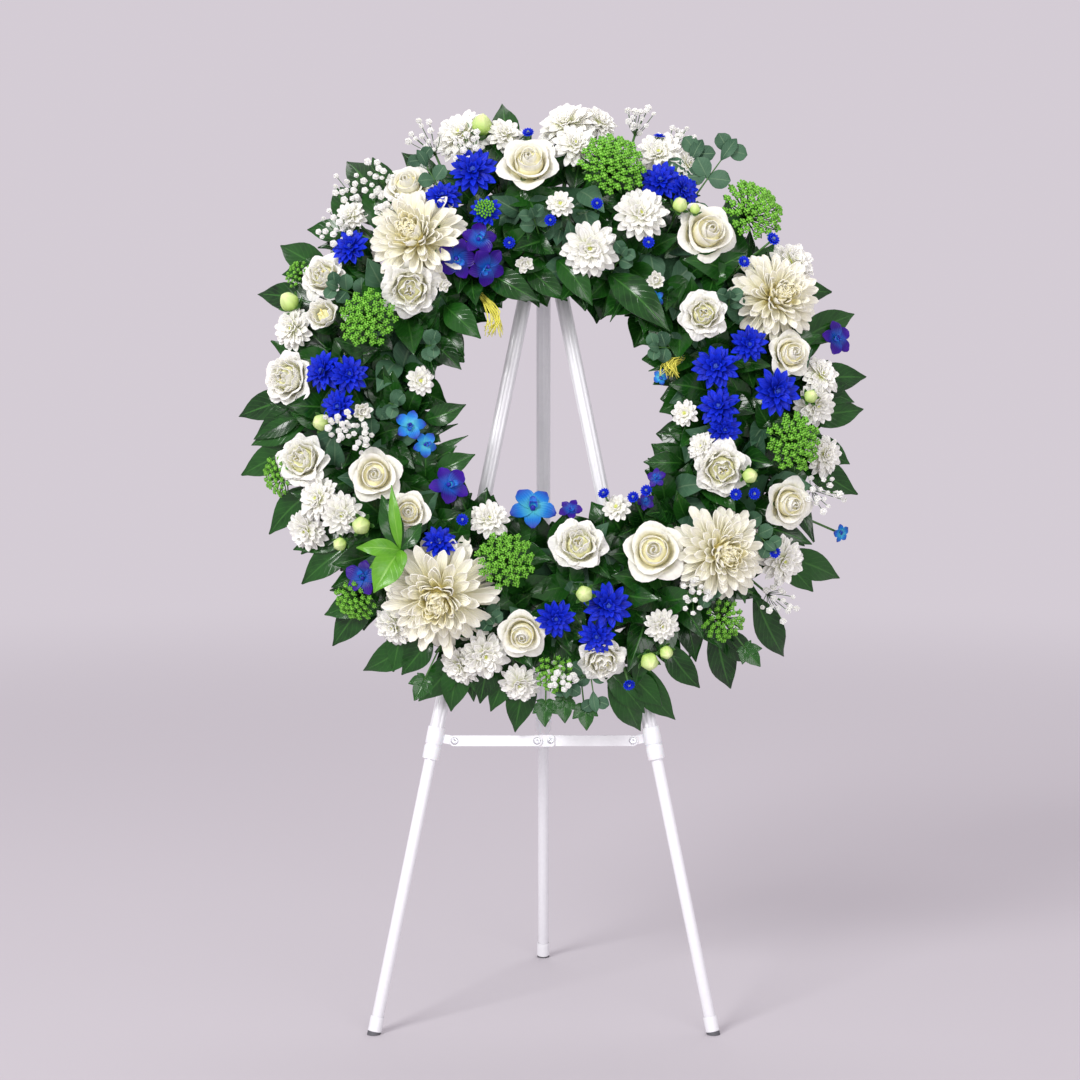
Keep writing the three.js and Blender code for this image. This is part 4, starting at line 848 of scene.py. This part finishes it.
def petal(length, width, rise, curl, cup=0.3, root=0.3, belly=0.6, blunt=2.2, rows=7, cols=3, wave=0.0):
    """Grid of a petal that starts along x at a rise and bends by a curl, both in degrees."""
    u = np.linspace(0, 1, rows)[:, None]
    t = 1 - (1 - u) ** 1.25
    s = np.linspace(-1, 1, cols)[None, :]
    climb = root + (1 - root) * np.sin(np.pi / 2 * np.clip(t / belly, 0, 1))
    fall = np.cos(np.pi / 2 * np.clip((t - belly) / (1 - belly), 0, 1) ** blunt)
    half = width / 2 * np.maximum(climb * fall, 0.16 if blunt > 1.5 else 0.04)
    slope = np.radians(rise + curl * t ** 1.4)
    steps = np.diff(t, axis=0, prepend=0) * length
    x = np.cumsum(np.cos(slope) * steps, axis=0)
    z = np.cumsum(np.sin(slope) * steps, axis=0)
    lift = cup * half * s ** 2 + wave * width * t ** 2 * np.sin(3 * np.pi * s + uniform(0, 6))
    return np.stack([x - np.sin(slope) * lift, half * s + 0 * x, z + np.cos(slope) * lift], -1)


def spin(angle, x=0.0, z=0.0, roll=0.0):
    """Turned about the head's axis, moved out and up, and rolled about its own length."""
    return (Matrix.Rotation(angle, 4, "Z") @ Matrix.Translation((x, 0, z)) @ Matrix.Rotation(roll, 4, "X"))


def head_frame(head):
    """The head's own frame: its middle, with z the way it faces."""
    z = Vector(unit(head["facing"]))
    near = Vector((math.cos(head["radius"] * 7.3 + head["centre"][0]), math.sin(head["centre"][1]), 0.1))
    y = z.cross(near).normalized()
    x = y.cross(z)
    frame_matrix = Matrix((x, y, z)).transposed().to_4x4()
    frame_matrix.translation = Vector(head["centre"])
    return wreath @ frame_matrix


def ball(shape, place, radius, squash, sides, skin, tone=0.5, along=0.5):
    """A small round body, as a floret or a seed."""
    rings = 3 if sides < 8 else 6
    height = radius * squash
    points = [(0, 0, -height)]
    for ring in range(1, rings):
        slope = math.pi * ring / rings
        points += [polar(2 * math.pi * k / sides, math.sin(slope) * radius, -math.cos(slope) * height)
                   for k in range(sides)]
    points.append((0, 0, height))
    k = np.arange(sides)
    beside = (k + 1) % sides
    low = np.stack([np.zeros(sides, int), 1 + beside, 1 + k], 1)
    top = 1 + (rings - 2) * sides
    high = np.stack([np.full(sides, len(points) - 1), top + k, top + beside], 1)
    marks = np.tile((along, 0.25, tone), (len(points), 1))
    shape.add(points, [np.concatenate([low, high]), 1 + bands(rings - 1, sides)], [skin, skin], marks, place)


def moved(place, x, y, z):
    return place @ Matrix.Translation((x, y, z))


# Green parts: a stem for each head, pushed into the foam, and the calyx under its petals.
def stem_and_calyx(shape, head, place, radius, skin, calyx, low):
    under = head["centre"] - head["facing"] * radius * low
    out = min(max(math.hypot(*head["centre"][:2]), 166), 234)
    root = polar(math.atan2(head["centre"][1], head["centre"][0]), out, 36)
    middle = under * 0.5 + root * 0.5 - head["facing"] * 3
    thick = 1.0 + radius * 0.035
    tube(shape, smooth_path([root, middle, under], 7), np.linspace(thick * 1.15, thick, 7), wreath, 6, skin)
    place = moved(place, 0, 0, -radius * low)
    ball(shape, place, radius * calyx, 0.7, 10, skin)
    for k in range(6):
        grid = petal(radius * calyx * 1.9, radius * calyx * 0.7, 20, 35, rows=4, blunt=1.0)
        sheet(shape, grid, 0.6, place @ spin(k * math.pi / 3, radius * calyx * 0.5, -1), 0.4, (skin, skin))


floret_green = grained("floret_green", (0.60, 0.64, 0.16), 0.6, 600.0, 0.5, 0.0006)


def floret_dome(shape, place, radius, height, count, size, skin):
    """The eye of a daisy head: many small florets on a low dome."""
    for k in range(count):
        f = math.sqrt((k + 0.5) / count)
        spot = moved(place, *polar(k * GOLDEN, radius * f, height * (1 - f * f)))
        ball(shape, spot, size, 1.2, 5, skin, draws.random())


# Large chrysanthemums: a hundred and more long cream petals in a spiral, the outer ones laid back and
# the inner ones curled over the yellow heart. The one at lower left has loose petals that hang down.
cream_heart = petal_paint("cream_heart", (0.88, 0.70, 0.16), (0.95, 0.87, 0.46), (0.97, 0.93, 0.68), 5, 0.6)
cream_petal = petal_paint("cream_petal", (0.93, 0.82, 0.30), (0.96, 0.93, 0.70), (0.97, 0.955, 0.84), 5, 0.6)
CREAM_PETALS = 176
LOOSE_FROM = 55


def cream_mum(shape, head, place, radius):
    loose = radius > LOOSE_FROM
    for k in range(CREAM_PETALS):
        f = k / CREAM_PETALS
        rise = -10 + 88 * f ** 0.85 + uniform(-5, 5)
        curl = -24 + 96 * f + uniform(-12, 12)
        reach = radius * (1.2 - 0.5 * f) * uniform(0.9, 1.04)
        if loose and f < 0.3:
            reach *= uniform(0.95, 1.12)
            curl -= uniform(0, 25)
        grid = petal(reach - radius * 0.10, radius * (0.23 - 0.08 * f), rise, curl, cup=0.55, root=0.42,
                     belly=0.72, blunt=3.0, rows=9, cols=4)
        turn = spin(k * GOLDEN + uniform(-0.08, 0.08), radius * 0.10 * (1 - f),
                    radius * (-0.36 + 0.28 * f), uniform(-0.22, 0.22))
        skin = 1 if f > 0.62 + uniform(-0.1, 0.1) else 0
        sheet(shape, grid, 0.7, place @ turn, draws.random(), (skin, skin))
    ball(shape, moved(place, 0, 0, radius * 0.02), radius * 0.27, 1.0, 14, 1, 0.3, 0.3)


# Spray chrysanthemums, white and dyed blue: tiers of narrow petals round a small eye of florets.
# The smallest are half closed, and one blue head has gone to green seed.
white_petal = petal_paint("white_petal", (0.86, 0.90, 0.50), (0.95, 0.945, 0.84), (0.97, 0.965, 0.90), 4,
                          0.58)
# The blue petals are painted darker towards their roots, as painted shade in the crowded middle of each head.
blue_petal = petal_paint("blue_petal", (0.001, 0.005, 0.20), (0.001, 0.014, 0.52), (0.001, 0.030, 0.80), 3,
                         0.5, vary=0.35, glow=0.05)
SEEDING = 17
blue_eye = grained("blue_eye", (0.03, 0.08, 0.42), 0.6, 600.0, 0.5, 0.0006)


def spray_mum(shape, head, place, radius):
    closing = 34 if radius < 15 else 0
    blue = head["kind"] == "blue_mum"
    if blue:
        tiers = ((13, 1.06, 2), (13, 0.9, 15), (10, 0.66, 33), (7, 0.4, 54))
    elif radius > 16:
        tiers = ((15, 1.04, -2), (14, 0.94, 11), (12, 0.78, 27), (9, 0.56, 46), (6, 0.36, 64))
    else:
        tiers = ((12, 1.02, 4), (10, 0.8, 26), (7, 0.5, 52))
    fullness = 0.7 if blue else 0.8
    for tier, (count, share, rise) in enumerate(tiers):
        start = uniform(0, 6)
        for k in range(count):
            reach = radius * share * uniform(0.92, 1.08)
            grid = petal(reach * 0.92, 2 * math.pi * radius * share / count * fullness,
                         rise + closing + uniform(-6, 7), uniform(-20, 12) + closing * 0.6, cup=0.42,
                         root=0.4, belly=0.58, blunt=1.45 if blue else 2.4)
            turn = spin(start + 2 * math.pi * (k + uniform(-0.25, 0.25)) / count, reach * 0.08,
                        -radius * 0.12 + tier * radius * 0.045, uniform(-0.3, 0.3))
            sheet(shape, grid, 0.5, place @ turn, draws.random())
    if blue and radius == SEEDING:
        floret_dome(shape, moved(place, 0, 0, radius * 0.3), radius * 0.64, radius * 0.3, 44,
                    radius * 0.095, 2)
    floret_dome(shape, moved(place, 0, 0, radius * 0.02), radius * 0.16, radius * 0.14, 20,
                radius * 0.055, 1)


# Roses: a high spiral bud of overlapping cupped petals, with the outer ones rolled back at their rims.
rose_petal = petal_paint("rose_petal", (0.93, 0.85, 0.42), (0.96, 0.93, 0.70), (0.97, 0.96, 0.85), 7, 0.5,
                         vein_depth=0.12, glow=0.4)


def cup_petal(mouth, belly, top, bottom, span, flare, ruffle, spiral, rows, cols, shoulder):
    """A petal wrapped round the head's axis: it swells to its belly, then closes or flares at its rim."""
    t = np.linspace(0, 1, rows)[:, None]
    s = np.linspace(-1, 1, cols)[None, :]
    height = t * (1 - shoulder * np.abs(s) ** 2.6)
    swell = np.sin(np.pi / 2 * np.clip(height / 0.55, 0, 1))
    close = np.clip((height - 0.55) / 0.45, 0, 1) ** 1.5
    phase = uniform(0, 6)
    reach = belly * (0.14 + 0.86 * swell) + (mouth - belly) * close + flare * height ** 5
    reach = reach + spiral * (s + 1) / 2 + ruffle * height ** 3 * np.sin(5.2 * s + phase)
    angle = s * np.radians(span) / 2 * (0.55 + 0.45 * np.sin(np.pi / 2 * np.clip(t / 0.6, 0, 1)))
    z = bottom + (top - bottom) * height - 0.85 * flare * height ** 9
    z = z + ruffle * 0.8 * height ** 3 * np.cos(7.0 * s + phase)
    return np.stack([reach * np.cos(angle), reach * np.sin(angle), z + 0 * angle], -1)


def rose(shape, head, place, radius):
    levels = ((2, 0.04, 0.15, 0.64, 290, 0.0, 0.10), (3, 0.17, 0.27, 0.62, 200, 0.03, 0.09),
              (3, 0.40, 0.44, 0.52, 176, 0.08, 0.08), (3, 0.66, 0.60, 0.34, 168, 0.18, 0.05),
              (5, 0.84, 0.72, 0.10, 112, 0.30, 0.02))
    for level, (count, mouth, belly, top, span, flare, spiral) in enumerate(levels):
        for k in range(count):
            vary = uniform(0.95, 1.05)
            grid = cup_petal(mouth * radius * vary, belly * radius * vary,
                             top * radius * uniform(0.93, 1.04), -0.72 * radius, span,
                             flare * radius * uniform(0.7, 1.2), 0.016 * radius * level / 3,
                             spiral * radius, rows=10, cols=11, shoulder=0.24)
            if level > 2:
                grid *= 1 + 0.10 * np.exp(-(np.linspace(-1, 1, 11)[None, :, None] / 0.3) ** 2) * (1, 1, 0)
            turn = spin(2 * math.pi * (k + uniform(-0.08, 0.08)) / count + level * 0.7,
                        roll=uniform(-0.09, 0.09))
            sheet(shape, grid, 0.45, place @ turn, draws.random())
    ball(shape, moved(place, 0, 0, -0.12 * radius), radius * 0.56, 0.8, 20, 0, 0.7, 0.3)


# Lisianthus: wide cups of thin petals with ruffled rims round a greenish throat with yellow stamens.
lisianthus_petal = petal_paint("lisianthus_petal", (0.90, 0.89, 0.52), (0.96, 0.95, 0.78),
                               (0.97, 0.965, 0.89), glow=0.4)
stamen_yellow = grained("stamen_yellow", (0.80, 0.70, 0.26), 0.7, 900.0, 0.4, 0.0005)


def lisianthus(shape, head, place, radius):
    half_open = radius < 23
    levels = (((5, 0.46, 0.46, 0.50, 104, 0.04), (5, 0.66, 0.60, 0.36, 98, 0.14)) if half_open else
              ((3, 0.10, 0.20, 0.52, 170, 0.02), (4, 0.30, 0.36, 0.52, 130, 0.06),
               (5, 0.52, 0.52, 0.44, 110, 0.12), (5, 0.72, 0.64, 0.28, 102, 0.22),
               (6, 0.84, 0.70, 0.06, 88, 0.28)))
    for level, (count, mouth, belly, top, span, flare) in enumerate(levels):
        for k in range(count):
            grid = cup_petal(mouth * radius, belly * radius, top * radius * uniform(0.86, 1.08),
                             -0.72 * radius, span, flare * radius * uniform(0.6, 1.3), 0.085 * radius, 0,
                             rows=8, cols=12, shoulder=0.2)
            turn = spin(2 * math.pi * (k + uniform(-0.14, 0.14)) / count + level * 0.65,
                        roll=uniform(-0.1, 0.1))
            sheet(shape, grid, 0.45, place @ turn, draws.random())
    heart, stamens = (0.34, 6) if half_open else (0.5, 3)
    ball(shape, moved(place, 0, 0, -0.2 * radius), radius * heart, 0.8, 16, 0, 0.3, 0.05)
    for k in range(stamens):
        tip = polar(2.1 * k, uniform(0.06, 0.16) * radius, radius * 0.3)
        tube(shape, [(0, 0, -0.4 * radius), (tip[0] * 0.5, tip[1] * 0.5, 0), tip], 0.5, place, 5, 1)
        ball(shape, moved(place, *tip), 1.2, 1.5, 6, 1)


# Green umbels: a dome of small clusters of round florets on thin stalks, with dark gaps between them.
umbel_green = petal_paint("umbel_green", (0.05, 0.22, 0.015), (0.15, 0.47, 0.03), (0.30, 0.68, 0.09), 3,
                          0.5, vary=0.4, glow=0.1)
FLORETS = 10
BRACTS, BRACT_STEP = 9, 0.698


def umbel(shape, head, place, radius):
    clusters = max(22, int(radius * 1.6))
    for k in range(clusters):
        f = math.sqrt((k + 0.5) / clusters)
        angle = k * GOLDEN + uniform(-0.1, 0.1)
        spot = polar(angle, 0.98 * radius * f, radius * (0.46 - 0.44 * f * f))
        stalk_end = spot - (0, 0, 2)
        stalk = [(0, 0, -0.42 * radius), stalk_end * 0.55 - (0, 0, 0.1 * radius), stalk_end]
        tube(shape, stalk, 0.6, place, 5, 1)
        size = 0.125 * radius
        for m in range(FLORETS):
            g = math.sqrt((m + 0.5) / FLORETS)
            offset = polar(m * GOLDEN, size * g, size * 0.7 * (1 - g * g))
            ball(shape, moved(place, *(spot + offset)), size * uniform(0.32, 0.44), 0.8, 5, 0,
                 draws.random(), 0.45 + 0.5 * (1 - g))
    for k in range(BRACTS):
        angle = k * BRACT_STEP + uniform(-0.2, 0.2)
        path = [(0, 0, -0.4 * radius), *(polar(angle, out * radius, up * radius)
                                         for out, up in ((0.6, -0.2), (0.97, 0.02), (0.84, 0.12)))]
        tube(shape, smooth_path(path, 8), 0.7, place, 5, 1)


# Orchids: five broad waxy petals and a cupped lip, dyed violet with a blue lip, or blue all over.
orchid_petal = petal_paint("orchid_petal", (0.01, 0.12, 0.55), (0.025, 0.004, 0.25), (0.055, 0.003, 0.32),
                           7, 0.38, vary=0.3, glow=0.05)
blue_orchid_petal = petal_paint("blue_orchid_petal", (0.10, 0.60, 0.68), (0.010, 0.20, 0.66),
                                (0.03, 0.03, 0.40), 7, 0.38, vary=0.3, glow=0.05)
PETAL_STEP = 1.2566


def orchid(shape, head, place, radius):
    skin = 1 if head["kind"] == "blue_orchid" else 0
    for k in range(5):
        grid = petal(radius * uniform(0.9, 1.0), radius * (0.82 if k % 2 else 0.7), 16, -26, cup=0.2,
                     root=0.4, belly=0.5, blunt=1.7, rows=8, cols=5, wave=0.03)
        turn = spin(math.pi / 2 + k * PETAL_STEP, radius * 0.05, k % 2 * 0.8, uniform(-0.2, 0.2))
        sheet(shape, grid, 0.9, place @ turn, draws.random(), (skin, skin))
    for k in (-1, 1):
        grid = petal(radius * 0.34, radius * 0.3, 50, 30, cup=0.6, rows=6, cols=4)
        sheet(shape, grid, 0.9, place @ spin(-math.pi / 2 + k * 0.8, radius * 0.06, 1), 0.9, (1, 1))
    grid = petal(radius * 0.5, radius * 0.3, 60, -50, cup=0.5, rows=6, cols=4)
    sheet(shape, grid, 0.9, place @ spin(-math.pi / 2, radius * 0.04, 1), 0.9, (1, 1))
    ball(shape, moved(place, 0, radius * 0.05, radius * 0.14), radius * 0.12, 1.4, 8, 1, 0.5, 1)


# Gypsophila: hair-thin forked stems with white double florets, each a ball of tiny petals.
gypsophila_petal = petal_paint("gypsophila_petal", (0.80, 0.84, 0.60), (0.95, 0.95, 0.88),
                               (0.97, 0.97, 0.93), 3)
SPRIG_FLORETS = 16


def gypsophila(shape, head, place, radius):
    centre = head["centre"]
    base = centre - head["facing"] * 26
    for k in range(SPRIG_FLORETS):
        angle = k * GOLDEN + uniform(-0.5, 0.5)
        f = math.sqrt((k + 0.5) / SPRIG_FLORETS) * uniform(0.8, 1.15)
        side = polar(angle, 1, 0) * radius * 1.75 * f
        tip = centre + side + (0, 0, uniform(-9, 6))
        size = uniform(0.8, 1.25)
        tube(shape, smooth_path([base, base * 0.45 + tip * 0.55 + side * 0.1, tip], 5), 0.45, wreath, 4, 1)
        place = wreath @ Matrix.Translation(tip) @ Matrix.Rotation(uniform(-0.9, 0.9), 4, "X")
        for layer, (count, share, rise) in enumerate(((5, 3.5, -15), (5, 3.1, 25), (3, 2.5, 55))):
            for m in range(count):
                grid = petal(share * size, share * size, rise, 30, cup=0, rows=4, cols=2)
                sheet(shape, grid, 0.5, place @ spin(m * 2 * math.pi / count + layer), draws.random())
        ball(shape, moved(place, 0, 0, 0.6), 1.9 * size, 0.9, 7, 0, 0.8, 0.8)


# Buds: lime-green lisianthus buds, ribbed by the furled petals inside, on a short calyx.
bud_green = petal_paint("bud_green", (0.14, 0.34, 0.04), (0.46, 0.66, 0.16), (0.76, 0.86, 0.42), 6, 0.45)


def green_bud(shape, head, place, radius):
    rows, sides = 11, 30
    t = np.linspace(0.02, 0.98, rows)
    angles = np.arange(sides) * 2 * math.pi / sides
    points = []
    for u in t:
        reach = radius * 0.84 * math.sin(math.pi * u ** 0.85) ** 0.75
        reach = reach * (1 - 0.10 * np.abs(np.sin(2.5 * angles + 2.2 * u)))
        points.append(np.stack([reach * np.cos(angles), reach * np.sin(angles),
                                np.full(sides, (2 * u - 1) * radius)], 1))
    points = np.concatenate(points)
    marks = np.column_stack([np.repeat(t, sides), np.tile(np.arange(sides) / sides, rows),
                             np.full(len(points), draws.random())])
    groups = outward(points, [bands(rows, sides), end_caps(sides, (rows - 1) * sides)])
    shape.add(points, groups, [0, 0], marks, place)


# Blue buttons: small tight heads with three rings of short florets round a dull green eye.
pale_eye = grained("pale_eye", (0.26, 0.34, 0.20), 0.6, 600.0, 0.5, 0.0006)


def blue_button(shape, head, place, radius):
    for count, share, rise in ((13, 1.15, 8), (11, 0.9, 30), (8, 0.65, 55)):
        start = uniform(0, 6)
        for k in range(count):
            grid = petal(radius * share, radius * 0.5, rise, 12, cup=0.4, rows=4, cols=3)
            sheet(shape, grid, 0.5, place @ spin(start + 2 * math.pi * k / count), draws.random())
    floret_dome(shape, moved(place, 0, 0, radius * 0.3), radius * 0.3, radius * 0.2, 16, radius * 0.1, 1)


# The bunches: each kind of head with its maker, its paints, its calyx's size and depth under the head, and a
# slot name.
# A bunch takes the slot of its first kind, and the small sprigs stand in no node of their own.
makers = {
    "cream_mum": (cream_mum, [cream_petal, cream_heart], 0.30, 0.46, "cream_petal"),
    "white_mum": (spray_mum, [white_petal, floret_green], 0.26, 0.22, "white_petal"),
    "blue_mum": (spray_mum, [blue_petal, blue_eye, umbel_green], 0.26, 0.22, "blue_petal"),
    "rose": (rose, [rose_petal], 0.34, 0.74, "rose_petal"),
    "lisianthus": (lisianthus, [lisianthus_petal, stamen_yellow], 0.24, 0.74, "lisianthus_petal"),
    "umbel": (umbel, [umbel_green, twig_bark], 0.10, 0.45, "green_floret"),
    "orchid": (orchid, [orchid_petal, blue_orchid_petal], 0.10, 0.2, "orchid_petal"),
    "blue_orchid": (orchid, [orchid_petal, blue_orchid_petal], 0.10, 0.2, "orchid_petal"),
    "gypsophila": (gypsophila, [gypsophila_petal, twig_bark], 0.10, 2.2, "gypsophila_floret"),
    "green_bud": (green_bud, [bud_green], 0.62, 0.92, None),
    "blue_button": (blue_button, [blue_petal, pale_eye], 0.5, 0.4, None),
}
for node_name, kinds in plan.items():
    bunch = Shape()
    paints = []
    for kind in kinds:
        maker, own_paints, calyx, low, slot = makers[kind]
        own_paints = own_paints + [twig_bark]
        for paint in own_paints:
            if paint not in paints:
                paints.append(paint)
        bunch.paint_row = [paints.index(paint) for paint in own_paints]
        for head in heads:
            if head["node"] == node_name and head["kind"] == kind:
                place = head_frame(head)
                maker(bunch, head, place, head["radius"])
                stem_and_calyx(bunch, head, place, head["radius"], len(own_paints) - 1, calyx, low)
    slot = makers[next(iter(kinds))][-1]
    made(f"{node_name}_blooms", bunch, paints, [] if node_name.endswith("_sprigs") else [node_name])

# Two tufts of yellow dyed hair-grass that hang from the hole's upper edge and its right side.
tuft_yellow = grained("tuft_yellow", (0.82, 0.78, 0.12), 0.6, 600.0, 0.3, 0.0004)
tufts = Shape()
for x, y, drop in ((-64, 100, 26), (126, 48, 18)):
    for k in range(34):
        tip = (x + uniform(-11, 11), y - drop * uniform(0.5, 1.0), 88 + uniform(-7, 7))
        middle = (x + uniform(-7, 7), y + uniform(-6, 4), 90 + uniform(-4, 6))
        root = polar(math.atan2(y, x) + uniform(-0.03, 0.03), 160, 54)
        tube(tufts, smooth_path([root, middle, tip], 7), 0.4, wreath, 4)
made("yellow_tufts", tufts, [tuft_yellow], [])
